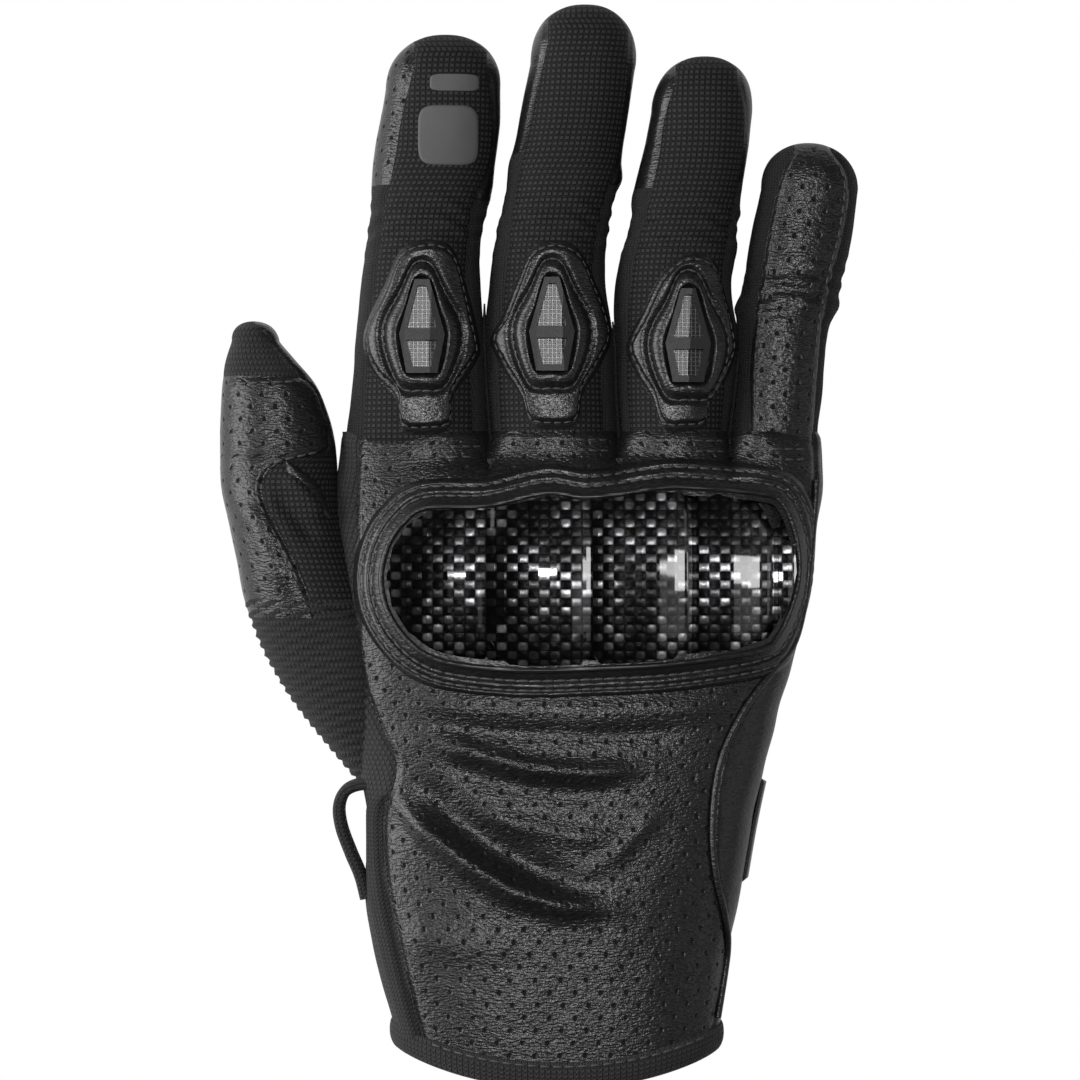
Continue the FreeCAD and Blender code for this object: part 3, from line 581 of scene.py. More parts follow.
# each finger: rows of (y, left, right) up to where its tip starts to close, its tip, its middle joint,
# its lean in degrees, how blunt its tip is, and the middle of its knuckle pad
FINGERS = {
    "index": {"edges": ((36, -48.2, -15.4), (44, -47.4, -15.6), (52.8, -46.4, -16.0), (66, -45.3, -16.7),
                        (79.2, -44.0, -17.6), (88, -42.9, -17.6), (96, -41.9, -16.0),
                        (99.5, -41.9, -15.0), (105.6, -41.4, -14.3), (114.4, -40.0, -13.3),
                        (122, -38.7, -13.1)),
              "tip": (-25.4, 134.2), "joint": (-30.3, 88.5), "lean": 4.5, "blunt": 2.2,
              "armour": (-30.2, 67.0)},
    "middle": {"edges": ((36, -15.6, 13.0), (44, -15.2, 12.8), (55, -16.2, 12.2), (66, -16.6, 12.0),
                         (79.2, -15.6, 10.1), (92.4, -13.6, 11.0), (99, -12.0, 12.6),
                         (101.8, -11.7, 13.9), (106, -11.2, 13.7), (108, -10.5, 13.9),
                         (118.8, -8.4, 15.6), (127.6, -6.6, 16.9)),
               "tip": (5.6, 140.9), "joint": (-1.9, 89.0), "lean": 6.0, "blunt": 2.3, "armour": (-1.8, 67.5)},
    "ring": {"edges": ((36, 13.0, 37.4), (44, 13.2, 37.2), (55, 12.6, 38.6), (66, 12.2, 39.4),
                       (79.2, 12.3, 38.1), (88, 14.3, 39.4), (91.5, 15.4, 39.2), (93.5, 15.8, 39.8),
                       (98, 16.0, 40.2), (101.2, 16.8, 40.7), (110, 18.9, 42.0), (117, 20.3, 42.8)),
             "tip": (32.2, 129.4), "joint": (26.9, 87.5), "lean": 6.5, "blunt": 2.2, "armour": (28.0, 65.0)},
    "little": {"edges": ((36, 37.4, 58.0), (44, 37.8, 57.2), (52.8, 38.6, 58.1), (61.6, 39.6, 58.8),
                         (70.4, 39.3, 60.2), (73.5, 39.4, 61.4), (79.2, 40.9, 62.5), (88, 42.2, 64.7),
                         (96.8, 44.0, 66.0), (100, 44.8, 66.4)),
               "tip": (55.2, 110.3), "joint": (50.8, 73.5), "lean": 10.5, "blunt": 2.1, "armour": None},
}


def finger_oval(name, y):
    """Centre, height of the centre, half width and half height of a finger, at any y."""
    spec = FINGERS[name]
    keys = np.array(spec["edges"])
    tip_x, tip_y = spec["tip"]
    share = 0.88 if name == "little" else 1.0
    y = np.asarray(y, float)
    left, right = curve(keys[:, 0], keys[:, 1], y), curve(keys[:, 0], keys[:, 2], y)
    height = share * curve((44, spec["joint"][1], keys[-1, 0] - 6), (11.5, 10.8, 9.8), y)
    q = np.clip((y - keys[-1, 0]) / (tip_y - keys[-1, 0]), 0, 0.9999)
    closing = (1 - q ** spec["blunt"]) ** (1 / spec["blunt"])
    centre = (left + right) / 2 * (1 - q) + tip_x * q
    return centre, TABLE_GAP + height, (right - left) / 2 * closing, height * closing


def finger_top(name, x, y):
    return dome(finger_oval(name, y), x, FINGER_POWER)


def to_fingers(x, y, z):
    """Lets the front of the hand run into the four finger roots."""
    x, y, z = np.broadcast_arrays(np.asarray(x, float), np.asarray(y, float), np.asarray(z, float))
    share = smoothstep(32, ROOT_Y, y)
    middle = TABLE_GAP + 11.5
    height = np.full(x.shape, 2.0)
    for name in FINGERS:
        cx, _, half, high = finger_oval(name, np.full(x.shape, JOINT_Y))
        s = np.clip(np.abs(x - cx) / (half + 0.7), 0, 1)
        height = np.maximum(height, (high + 0.4) * (1 - s ** FINGER_POWER) ** (1 / FINGER_POWER))
    upper = np.minimum(middle + height, np.maximum(z, middle))
    lower = np.maximum(middle - height, np.minimum(z, middle))
    return z * (1 - share) + np.where(z > middle, upper, lower) * share


def even(first, last, columns, oval):
    """Angles from first to last on each row of the hand, spaced evenly along its surface."""
    q = np.linspace(0, 1, 161)
    angles = first[:, None] * (1 - q) + last[:, None] * q
    cx, cz, half, high = [v[:, None] for v in oval]
    run = run_along(np.stack(ovals(angles, cx, cz, half, high, *HAND_POWERS), axis=2), 1)
    return np.stack([np.interp(np.linspace(0, r[-1], columns), r, a) for r, a in zip(run, angles)])


def hem_y(x, y):
    """Carries rows down to the curved hem."""
    dip = np.sqrt(88.5 ** 2 - np.minimum(np.abs(x), 60) ** 2) - 82.2
    return y - dip * smoothstep(-55, HEM_ROW, y)


def on_form(points):
    """Gives points of the hand's plain sections the form of the finger roots and of the hem."""
    x, y, z = np.moveaxis(points, 2, 0)
    return np.stack([x, hem_y(x, y), to_fingers(x, y, z)], axis=2)


def rolled(points, depth=0.55, width=0.9, sides=(0, 1, 1, 1)):
    """Turns a panel's edges in towards its seams. sides: first row, last row, first column, last column."""
    along, across = run_along(points, 0), run_along(points, 1)
    away = [along, along[-1:] - along, across, across[:, -1:] - across]
    dip = np.zeros(points.shape[:2])
    for used, distance in zip(sides, away):
        dip = np.maximum(dip, used * depth * np.exp(-(distance / width) ** 2))
    return points - normals_of(points) * dip[:, :, None]


def ridge(x, y, path, width, height):
    """A soft fold along a path that fades out at its ends."""
    path = np.array(path, float)
    best = np.full(x.shape, 1e9)
    place = np.zeros(x.shape)
    total = run_along(path)
    for k in range(len(path) - 1):
        a, way = path[k], path[k + 1] - path[k]
        q = np.clip(((x - a[0]) * way[0] + (y - a[1]) * way[1]) / (way @ way), 0, 1)
        d = np.hypot(x - a[0] - way[0] * q, y - a[1] - way[1] * q)
        near = d < best
        best = np.where(near, d, best)
        place = np.where(near, (total[k] + q * (total[k + 1] - total[k])) / total[-1], place)
    fade = smoothstep(0.0, 0.25, place) * smoothstep(1.0, 0.75, place) * 0.85 + 0.15
    return height * fade * np.exp(-(best / width) ** 2)


def sway(x, y, size, seed):
    """Slow, uneven undulation from a few sine waves."""
    rng = np.random.default_rng(seed)
    total = np.zeros(np.shape(x))
    for _ in range(7):
        angle, phase = rng.uniform(0, math.pi), rng.uniform(0, 2 * math.pi)
        pitch = size * rng.uniform(0.7, 1.6)
        total = total + np.sin((x * math.cos(angle) + y * math.sin(angle)) * 2 * math.pi / pitch + phase)
    return total / 7


# seams of the back leather, and the angles of the palm's edges, the left one on HAND_Y
BACK_LEFT = ((-26.5, -92), (-30, -84), (-33, -74), (-35.3, -64), (-37.4, -54), (-38.4, -45), (-38.2, -37),
             (-36, -31), (-35.8, -26), (-38.5, -20), (-42, -12), (-43.8, -4), (-44.2, 10), (-45, 30),
             (-44, 48))
BACK_RIGHT = ((31, -92), (34.2, -82), (36.4, -68), (35.8, -60), (33.8, -51), (33.0, -42), (33.6, -32),
              (35.5, -24), (40, -15), (46, -7), (51, -1), (53.5, 8), (55.2, 22), (56.4, 35), (56.0, 48))
PALM_LEFT = (188, 188, 188, 195, 212, 228, 232, 224, 208, 196, 190)
PALM_RIGHT = -8.0
BACK_FOLDS = (  # (height, width, path)
    (2.7, 2.6, ((-37, -32), (-29, -41), (-20, -48), (-10, -54), (0, -57), (12, -57.5))),
    (-1.7, 3.2, ((-33, -28), (-24, -36.5), (-15, -43.5), (-5, -49), (6, -52))),
    (1.7, 2.3, ((-30, -20.5), (-18, -24.5), (-6, -27.5), (6, -28.5), (20, -27))),
    (-0.8, 2.6, ((-28, -25.5), (-14, -30.5), (0, -33), (14, -33))),
    (0.8, 2.2, ((-20, -36), (-10, -39.5), (2, -42), (14, -43))),
    (0.9, 3.0, ((-38, -11.5), (-20, -14), (5, -15.5), (30, -14.5), (44, -10))),
    (-0.5, 1.8, ((-34, -17.5), (-15, -19.5), (8, -20.5), (30, -19.5))),
    (0.5, 1.9, ((22, -36), (12, -46), (2, -52))),
    (0.5, 3.2, ((-36, -62), (-22, -66), (-8, -66))),
    (-0.35, 2.0, ((-42, 40), (-20, 39.5), (10, 40.5), (40, 40), (54, 38))),
)
BINDING_PROFILE = (  # (outwards, ahead) from the hem's row
    (-1.4, 2.6), (-2.0, 0.5), (-2.1, -2.4), (-1.5, -3.6), (-0.7, -4.0), (0.1, -3.6), (0.7, -2.4),
    (0.95, -1.0), (0.9, 0.6), (0.6, 1.6), (-0.3, 1.9))


def back_relief(x, y):
    """Creases of a broken-in back: a long fold from the thumb side, and smaller ones beside it."""
    h = 0.22 * sway(x, y, 26, 3) + 0.10 * sway(x, y, 9, 5)
    for height, width, path in BACK_FOLDS:
        h = h + ridge(x, y, path, width, height)
    return h


def hand_sheet(name, first, last, columns, material, relief=None, rows=None, depth=0.0, end=46.0):
    """A panel of the hand between two angles, each a function of y. A lining lies depth under the surface."""
    y = np.linspace(HEM_ROW, end, rows or int((end - HEM_ROW) / 0.75))
    oval = hand_oval(y)
    points = on_form(section_points(even(first(y), last(y), columns, oval), y, oval, HAND_POWERS, -depth))
    if relief is not None:
        points = points + normals_of(points) * relief(points[:, :, 0], points[:, :, 1])[:, :, None]
    if not depth:
        points = rolled(points)
    return grid(name, points, [material], cloth_uv(points), flip=depth > 0)


def dense(path, step=1.0, closed=False):
    """A smooth curve through (x, y) points, sampled about every step millimetres."""
    path = [tuple(p) for p in path]
    if closed:
        path = path[-2:] + path + path[:3]
    else:
        path = [path[0]] + path + [path[-1]]
    points = np.array(path, float)
    out = []
    stop = len(points) - 2 - (1 if closed else 0)
    for k in range(2 if closed else 1, stop):
        p0, p1, p2, p3 = points[k - 1:k + 3]
        count = max(2, int(np.linalg.norm(p2 - p1) / step))
        for q in np.arange(count) / count:
            out.append(0.5 * ((2 * p1) + (p2 - p0) * q + (2 * p0 - 5 * p1 + 4 * p2 - p3) * q * q
                              + (3 * p1 - p0 - 3 * p2 + p3) * q ** 3))
    if not closed:
        out.append(points[-1])
    return np.array(out)


def hand_pieces():
    left, right = [lambda y, edge=edge: hand_angle(y, line(edge, y)) for edge in (BACK_LEFT, BACK_RIGHT)]
    low_left = lambda y: curve(HAND_Y, PALM_LEFT, y)
    low_right, full_turn = [lambda y, a=a: np.full(np.shape(y), a) for a in (PALM_RIGHT, PALM_RIGHT + 360)]
    back = hand_sheet("back_leather", right, left, 210, "punched", back_relief, rows=250)
    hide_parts("back_panel")
    outer = hand_sheet("outer_side_leather", low_right, right, 40, "leather",
                       lambda x, y: 0.25 * sway(x * 2, y, 14, 8))
    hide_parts("outer_side_panel")
    stretch = hand_sheet("side_knit", left, low_left, 50, "knit", lambda x, y: 0.2 * sway(x * 2, y, 12, 9))
    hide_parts("side_stretch_panel")
    palm = hand_sheet("palm_suede", low_left, full_turn, 120, "suede",
                      lambda x, y: 0.15 * sway(x, y, 15, 10) - 0.1)
    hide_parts("palm_panel")
    lining = hand_sheet("hand_lining", low_right, full_turn, 90, "lining", rows=90, depth=LINING_DEPTH,
                        end=LINING_END)
    rest = [hand_front(), binding(), side_tape(left)]
    cord = on_surface(hand_top, dense(BACK_RIGHT[1:-1], 1.5), 0.15, 0.4, back_relief)[:, :3]
    return [back, outer, stretch, palm, lining, *rest, tube("side_piping", cord, 0.75, "soft")]


def side_tape(seam):
    """Knit tape sewn flat beside the back leather, from the hem up to the pull loop."""
    y = np.linspace(HEM_ROW, -33, 70)
    fine = seam(y)[:, None] + 0.5 + np.linspace(0, 40, 121)
    oval = hand_oval(y)
    run = run_along(section_points(fine, 0 * y, oval, HAND_POWERS), 1)
    width = 5.6 * smoothstep(-30, -37, y) + 0.6
    turn = np.stack([np.interp(np.linspace(0, w, 16), r, f) for w, r, f in zip(width, run, fine)])
    points = rolled(on_form(section_points(turn, y, oval, HAND_POWERS, 1.0)), 1.4)
    return grid("side_tape", points, ["tape"], cloth_uv(points))


def hand_ring(y, count, endpoint, grow=0.0):
    """One ring of points round the hand."""
    turn = np.linspace(PALM_RIGHT, PALM_RIGHT + 360, count, endpoint=endpoint)
    y = np.array([y])
    return on_form(section_points(turn[None], y, hand_oval(y), HAND_POWERS, grow))[0]


def hand_front():
    """Closes the hand inside, behind the finger roots."""
    rim = hand_ring(LINING_END, 90, True, -LINING_DEPTH)
    middle = np.array([4.0, LINING_END, 13.0])
    points = np.stack([middle + (rim - middle) * share for share in (0.02, 0.5, 1.0)])
    return grid("lining_end", points, ["lining"], cloth_uv(points))


def binding():
    """A knit tape folded over the hem."""
    ring = hand_ring(HEM_ROW, 220, False)
    ahead = np.array((0, 1.0, 0))
    tangent = np.roll(ring, -1, axis=0) - np.roll(ring, 1, axis=0)
    out = np.cross(ahead, tangent)
    out /= np.linalg.norm(out, axis=1, keepdims=True)
    step = 0.35
    points = np.stack([ring + out * a + ahead * b for a, b in dense(BINDING_PROFILE, step)])
    run = np.arange(len(ring) + 1) * np.linalg.norm(tangent, axis=1).mean() / 2
    down = np.arange(len(points)) * step
    uv = np.stack(np.broadcast_arrays(run[None, :], down[:, None]), axis=2)
    tape = grid("cuff_tape", points, ["tape"], uv, closed=True, flip=True)
    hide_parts("cuff_binding")
    return tape


# ---------------------------------------------------------------- knuckle guard and the leather round it

GUARD_EDGE = ((-38.7, 14), (-37.3, 20.5), (-34, 25.5), (-29, 28.8), (-16, 29.2), (-3, 32), (6, 31),
              (20, 32.8), (27, 33.2), (44, 31.8), (48.6, 29.5), (51.4, 22.5), (52, 15), (50.8, 9),
              (47.6, 1.6), (43, -1.7), (25, -4.5), (8, -5.5), (-8, -5.9), (-22, -4.7), (-29, -2.6),
              (-34, 1.6), (-37.6, 7.5))
GUARD_MIDDLE = np.array((6.5, 13.5))
GUARD_CHANNELS = (2.6, 4.7)  # sewn rows, by their distance from the guard


def guard_ring(away, count=300):
    """The guard's outline moved outwards."""
    edge = dense(GUARD_EDGE, 0.6, True)
    step = np.roll(edge, -3, axis=0) - np.roll(edge, 3, axis=0)
    out = np.stack([-step[:, 1], step[:, 0]], axis=1)
    out /= np.linalg.norm(out, axis=1, keepdims=True)
    if ((edge - GUARD_MIDDLE) * out).sum() < 0:
        out = -out
    moved = edge + out * away
    at = np.linspace(0, len(moved), count, endpoint=False)
    closed = np.vstack([moved, moved[:1]])
    return np.stack([np.interp(at, np.arange(len(closed)), closed[:, k]) for k in range(2)], axis=1)


def surround_height(away):
    """Soft bands between two sewn channels."""
    h = 1.15 + 1.1 * smoothstep(2.4, -0.6, away) - 1.5 * smoothstep(5.2, 7.0, away)
    for channel in GUARD_CHANNELS:
        h = h - 0.5 * np.exp(-((away - channel) / 0.55) ** 2)
    return h


def round_guard(away, count=300):
    """Points on the padded leather, at a distance from the guard's edge."""
    x, y = guard_ring(away, count).T
    x = keep_on_hand(x, y)
    return np.stack([x, y, hand_top(x, y) + 0.35 * back_relief(x, y) + surround_height(away)], axis=1)


def keep_on_hand(x, y):
    """Eases points that would pass the side of the hand back on to it."""
    cx, _, half, _ = hand_oval(y)
    share = np.abs(x - cx) / half
    eased = 0.95 + 0.045 * np.tanh((share - 0.95) / 0.045)
    return cx + half * np.sign(x - cx) * np.where(share > 0.95, eased, share)


def guard_pieces():
    points = np.stack([round_guard(away) for away in np.linspace(-1.5, 7.0, 36)])
    points[:, :, 2] += 0.12 * sway(points[:, :, 0], points[:, :, 1], 7, 12)
    ring = grid("guard_surround_leather", points, ["leather"], flat_uv(points), closed=True)
    face_up(ring)
    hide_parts("guard_surround", "guard_foam_pad")
    rim = guard_ring(0.25)
    rim = np.column_stack([rim, hand_top(rim[:, 0], rim[:, 1]) + 2.35])
    piping = tube("guard_piping", rim, 0.62, "soft", closed=True)
    rows = [round_guard(channel, 160) + (0, 0, 0.1) for channel in GUARD_CHANNELS]
    repaint("knuckle_guard", "carbon")
    return [ring, piping, stitching("guard_stitches", rows)]


def hand_stitching():
    side = [(line(BACK_LEFT, y) + 1.6, y) for y in np.arange(-84, 40, 1.5)]
    rows = [on_surface(hand_top, side, -0.05, 0.4, back_relief)]
    for first, last, high in ((-43, -18, 42.6), (-12.5, 10, 44.0), (16, 36, 43.8), (41, 55, 42.0)):
        for back in (0.0, 2.3):
            path = [(x, high - back) for x in np.linspace(first, last, 24)]
            rows.append(on_surface(hand_top, path, -0.1, 0.4, back_relief))
    x = np.linspace(-28, 31, 60)
    hem = np.stack([x, hem_y(x, HEM_ROW) + 1.0, hand_top(x, HEM_ROW) + 0.9], axis=1)
    return [stitching("hand_stitches", rows), stitching("hem_stitches", [hem])]


# ---------------------------------------------------------------- fingers


def finger_rings(name, y):
    """Rings of a finger in four panels from the right seam on: back, thumb-side strip, palm, outer strip."""
    right, left = seam_angles(name, y)
    limits = (right, left, np.full(len(y), 206.0), np.full(len(y), 334.0), right + 360)
    turn = spread(limits, PANEL_COLUMNS)
    return section_points(turn, y, finger_oval(name, y), (FINGER_POWER, FINGER_POWER)), turn, limits


PANEL_COLUMNS = (44, 14, 26, 14)  # back, thumb-side strip, palm, outer strip
LEFT_STRIP, RIGHT_STRIP = slice(44, 58), slice(84, 98)
FINGER_MATERIALS = ("grid", "punched", "fine", "suede", "leather")
WRAPS = {  # leather that comes round from the palm near each tip: (from y, strip, material number)
    "index": ((100, LEFT_STRIP, 1), (96.5, RIGHT_STRIP, 4)),
    "middle": ((107, LEFT_STRIP, 4), (100, RIGHT_STRIP, 4)),
    "ring": ((99, LEFT_STRIP, 4), (101, RIGHT_STRIP, 4)),
}
SEAMS = {  # x of the seams on the back of each finger: ((y, left, right), ...)
    "index": ((38, -44.0, -18.8), (60, -42.6, -19.4), (86, -40.2, -20.2), (97, -38.6, -18.6),
              (104, -37.0, -15.6), (116, -35.0, -14.6), (126, -32.4, -15.8)),
    "middle": ((38, -13.0, 10.2), (60, -13.8, 9.2), (86, -11.6, 7.8), (98, -10.2, 10.4),
               (104, -9.0, 12.4), (118, -6.0, 14.8), (132, -3.0, 15.6)),
    "ring": ((38, 15.4, 35.2), (60, 14.4, 36.8), (84, 16.2, 36.4), (96, 19.2, 38.8), (106, 21.4, 40.6),
             (116, 23.0, 41.2), (124, 25.4, 39.6)),
    "little": ((38, 41.6, 55.6), (50, 41.6, 56.6), (60, 41.6, 57.4), (70, 42.6, 58.4), (80, 44.2, 60.4),
               (90, 45.8, 63.0), (100, 48.0, 64.2), (105, 49.8, 62.8), (108.6, 52.0, 60.0)),
}


def seam_angles(name, y):
    """Angles of the right and the left seam on a finger's back."""
    keys = np.array(SEAMS[name])
    cx, _, half, _ = finger_oval(name, y)
    left, right = [(curve(keys[:, 0], keys[:, k], y) - cx) / half for k in (1, 2)]
    shares = np.clip(right, -0.93, 0.96), np.clip(left, -0.96, 0.93)
    return [angle_at(share, FINGER_POWER) for share in shares]


def finger_relief(name, points, turn, limits):
    """Folds over the joint and grooves along the seams."""
    x, y = points[:, :, 0], points[:, :, 1]
    joint_x, joint_y = FINGERS[name]["joint"]
    top = np.sin(np.radians(turn))
    h = 0.16 * sway(x + turn * 0.2, y, 13, len(name)) + 0.06 * sway(x, y, 5, 4)
    reach = np.exp(-((y - joint_y - 3) / 6.5) ** 2)
    bend = 0.045 * (x - joint_x) ** 2
    folds = np.sin((y + bend) * 2 * math.pi / 4.6) + 0.6 * np.sin((y - bend * 0.5) * 2 * math.pi / 2.9 + 1.0)
    h = h + reach * folds * 0.30 * smoothstep(-0.4, 0.5, top)
    if name == "little":
        h = h + 0.5 * np.exp(-((y - joint_y) / 1.8) ** 2) * np.abs(np.cos(np.radians(turn)))
    radius = finger_oval(name, y)[2]
    for limit, depth in zip(limits, (0.5, 0.5, 0.35, 0.35)):
        d = np.abs((turn - limit[:, None] + 180) % 360 - 180) * math.pi / 180 * radius
        h = h - depth * np.exp(-(d / 0.7) ** 2)
    tip_y = FINGERS[name]["tip"][1]
    return h * smoothstep(tip_y - 0.3, tip_y - 4, y)


def finger_mesh(name, part, first, last):
    """One half of a finger, with a material for each panel."""
    tip_x, tip_y = FINGERS[name]["tip"]
    y = tip_rows(first, last, 0.7, tip_y, 9, 26)
    points, turn, limits = finger_rings(name, y)
    if part == "base":  # the root is drawn in, to lie inside the hand
        centre, middle = [v[:, None] for v in finger_oval(name, y)[:2]]
        tuck = 1 - 0.14 * smoothstep(46, 39, y)[:, None]
        points = np.stack([centre + (points[:, :, 0] - centre) * tuck, points[:, :, 1],
                           middle + (points[:, :, 2] - middle) * tuck], axis=2)
    points = points + ring_normals(points) * finger_relief(name, points, turn, limits)[:, :, None]
    if last >= tip_y:
        points = with_tip(points, (tip_x, tip_y, finger_oval(name, tip_y)[1]))
    panels = (1 if name == "little" else 0, 2, 3, 2)
    owners = np.tile(np.repeat(panels, PANEL_COLUMNS), (len(points) - 1, 1))
    for start, columns, material in WRAPS.get(name, ()):
        owners[points[:-1, 0, 1] > start, columns] = material
    uv = cloth_uv(points, PANEL_COLUMNS[0] // 2, True)
    return grid(f"{name}_{part}", points, FINGER_MATERIALS, uv, owners, closed=True)


def place(x, y, z):
    """A point in metres."""
    return (x * MM, y * MM, z * MM)


def bend_root(obj):
    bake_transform(obj)
    return obj


def bend_middle(obj):
    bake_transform(obj)
    return obj


KITES = {
    "index": ((-35, 85.5), (-29.5, 88), (-24, 86.5), (-21, 79), (-17.9, 66), (-18.4, 61.5), (-23.6, 53),
              (-24.2, 46.5), (-29.2, 45.2), (-34.6, 46), (-36, 53), (-40.6, 58), (-43.2, 64), (-42.4, 70),
              (-38.5, 78)),
    "middle": ((-6, 86), (-1, 88), (4, 86), (7, 80.5), (10.6, 71.5), (11.2, 66), (8.8, 60.5), (5, 54),
               (3.5, 47.2), (-1.5, 46.2), (-6.5, 47.2), (-8.5, 53), (-12.8, 60), (-15.2, 66), (-12.8, 71),
               (-9, 80)),
    "ring": ((26, 84), (30, 85), (34, 83), (36, 77), (38.3, 69.5), (39, 64), (36.8, 58), (33, 52.5),
             (31.5, 46.8), (27, 45.8), (22.5, 46.5), (20, 53), (17, 58), (14.7, 64.5), (18, 72),
             (22, 80)),
}
VENT = ((1.5, 12.2), (3.4, 6.0), (5.1, 0.0), (3.6, -8.4), (0, -9.2), (-3.6, -8.4), (-5.1, 0.0), (-3.4, 6.0),
        (-1.5, 12.2))


def star(outline, centre, angles, grow=0.0):
    """Where rays from a centre meet an outline."""
    points = dense(outline, 0.4, True) - centre
    turn, reach = np.arctan2(points[:, 1], points[:, 0]), np.hypot(points[:, 0], points[:, 1])
    order = np.argsort(turn)
    reach = np.interp(angles, turn[order], reach[order], period=2 * math.pi) + grow
    return centre + np.stack([np.cos(angles), np.sin(angles)], axis=1) * reach[:, None]


def lifted(name, flat, height):
    """Points over a finger, raised along its surface normal."""
    x, y = flat[:, 0], flat[:, 1]
    cx, _, half, _ = finger_oval(name, y)
    x = cx + np.clip((x - cx) / half, -0.93, 0.93) * half
    top = lambda x, y: finger_top(name, x, y)
    return on_surface(top, np.stack([x, y], axis=1), height)[:, :3]


def kite_pad(name):
    """Padded leather over a knuckle, with a sewn ring round the vent."""
    centre = np.array(FINGERS[name]["armour"])
    angles = np.linspace(-math.pi, math.pi, 220, endpoint=False)
    inner, ring_line = [star(np.array(VENT) + centre, centre, angles, grow) for grow in (-0.9, 3.1)]
    outer = star(KITES[name], centre, angles)
    rows = []
    for share in np.concatenate([np.linspace(0, 0.4, 16), np.linspace(0.4, 1, 26)[1:]]):
        flat = inner + (outer - inner) * share
        edge, ring, hole = [np.linalg.norm(flat - other, axis=1) for other in (outer, ring_line, inner)]
        h = 1.9 * smoothstep(-0.3, 2.6, edge) - 0.1 + 0.7 * smoothstep(4.4, 1.6, hole)
        h = h - 0.95 * np.exp(-(ring / 0.75) ** 2) - 0.45 * np.exp(-((edge - 1.5) / 0.45) ** 2)
        h = h - 1.4 * smoothstep(1.1, 0.0, hole) + 0.1 * sway(flat[:, 0], flat[:, 1], 6, len(name) + 20)
        rows.append(lifted(name, flat, h + 0.15))
    points = np.stack(rows)
    uv = flat_uv(points) + (40, 0)
    pad = face_up(grid(f"{name}_pad_leather", points, ["leather"], uv, closed=True))
    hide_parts(f"{name}_knuckle_pad")
    paths = [lifted(name, ring_line, 1.25), lifted(name, star(KITES[name], centre, angles, -1.5), 0.95)]
    paths = [np.vstack([path, path[:1]]) for path in paths]
    sewn = stitching(f"{name}_pad_stitches", paths, pitch=2.2, length=1.6, width=0.5)
    for piece in (pad, sewn):
        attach(piece, f"{name}_base")
    repaint(f"{name}_vent_frame", "plastic")
    repaint(f"{name}_vent_mesh", "mesh")


def finger_pieces():
    for name in FINGERS:
        split = 60.0 if name == "little" else 66.0
        base = bend_root(finger_mesh(name, "base", 39.0, split))
        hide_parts(f"{name}_base_back", f"{name}_base_palm")
        end = bend_middle(finger_mesh(name, "end", split, FINGERS[name]["tip"][1]))
        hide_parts(f"{name}_end_back", f"{name}_end_palm", f"{name}_tip_cap")
        if FINGERS[name]["armour"]:
            kite_pad(name)
    finger_webs()
    little_stitching()
    index_print()


def finger_webs():
    """Knit folds that close the gaps between neighbouring finger roots."""
    for name, other, reach in (("index", "middle", 75.0), ("middle", "ring", 71.0), ("little", "ring", 66.0)):
        y = np.arange(40.0, reach, 0.8)
        cx, cz, half, _ = finger_oval(name, y)
        far_cx, _, far_half, _ = finger_oval(other, y)
        side = np.sign(far_cx - cx)
        middle = (cx + side * half + far_cx - side * far_half) / 2
        fade = smoothstep(reach, reach - 8, y)
        turn = np.linspace(0, 2 * math.pi, 20, endpoint=False)
        x = middle[:, None] + 0.65 * np.cos(turn) * (0.3 + 0.7 * fade[:, None])
        z = cz[:, None] + (1.0 + 4.0 * fade[:, None]) * np.sin(turn)
        points = np.stack([x, np.broadcast_to(y[:, None], x.shape), z], axis=2)
        uv = cloth_uv(points, 0, True)
        bend_root(grid(f"{name}_{other}_web", points, ["fine"], uv, closed=True, flip=True))


def little_stitching():
    """Stitches beside the seams on the little finger's back and over its tip."""
    top = lambda x, y: finger_top("little", x, y)
    left = dense([(x + 1.3, y) for y, x, _ in SEAMS["little"]], 1.2)
    right = dense([(x - 1.3, y) for y, _, x in SEAMS["little"]], 1.2)
    over = dense([(53.3, 108.4), (55.8, 109.0), (58.7, 108.2)], 1.0)
    upper = np.vstack([left[left[:, 1] > 60], over, right[::-1][right[::-1, 1] > 60]])
    lower = [side[(side[:, 1] > 46) & (side[:, 1] < 60)] for side in (left, right)]
    end = stitching("little_end_stitches", [on_surface(top, upper, 0.02)])
    bend_middle(end)
    base = stitching("little_base_stitches", [on_surface(top, p, 0.02) for p in lower])
    bend_root(base)


def index_print():
    """A plain reflective tab and bar on the fingertip, with no mark on them."""
    for name, centre, halves in (("index_print_tab", np.array((-24.6, 111.0)), (6.6, 6.6)),
                                 ("index_print_bar", np.array((-23.2, 122.6)), (5.4, 1.9))):
        rim = rounded_rim(centre, halves, 0.42, 96)
        rows = []
        for share in np.linspace(0.001, 1, 24):
            flat = centre + (rim - centre) * share
            z = finger_top("index", flat[:, 0], flat[:, 1]) + 0.42 - 0.3 * (share > 0.99)
            rows.append(np.column_stack([flat, z]))
        points = np.stack(rows)
        patch = face_up(grid(name, points, ["print"], flat_uv(points), closed=True))
        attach(patch, "index_end")


# ---------------------------------------------------------------- thumb

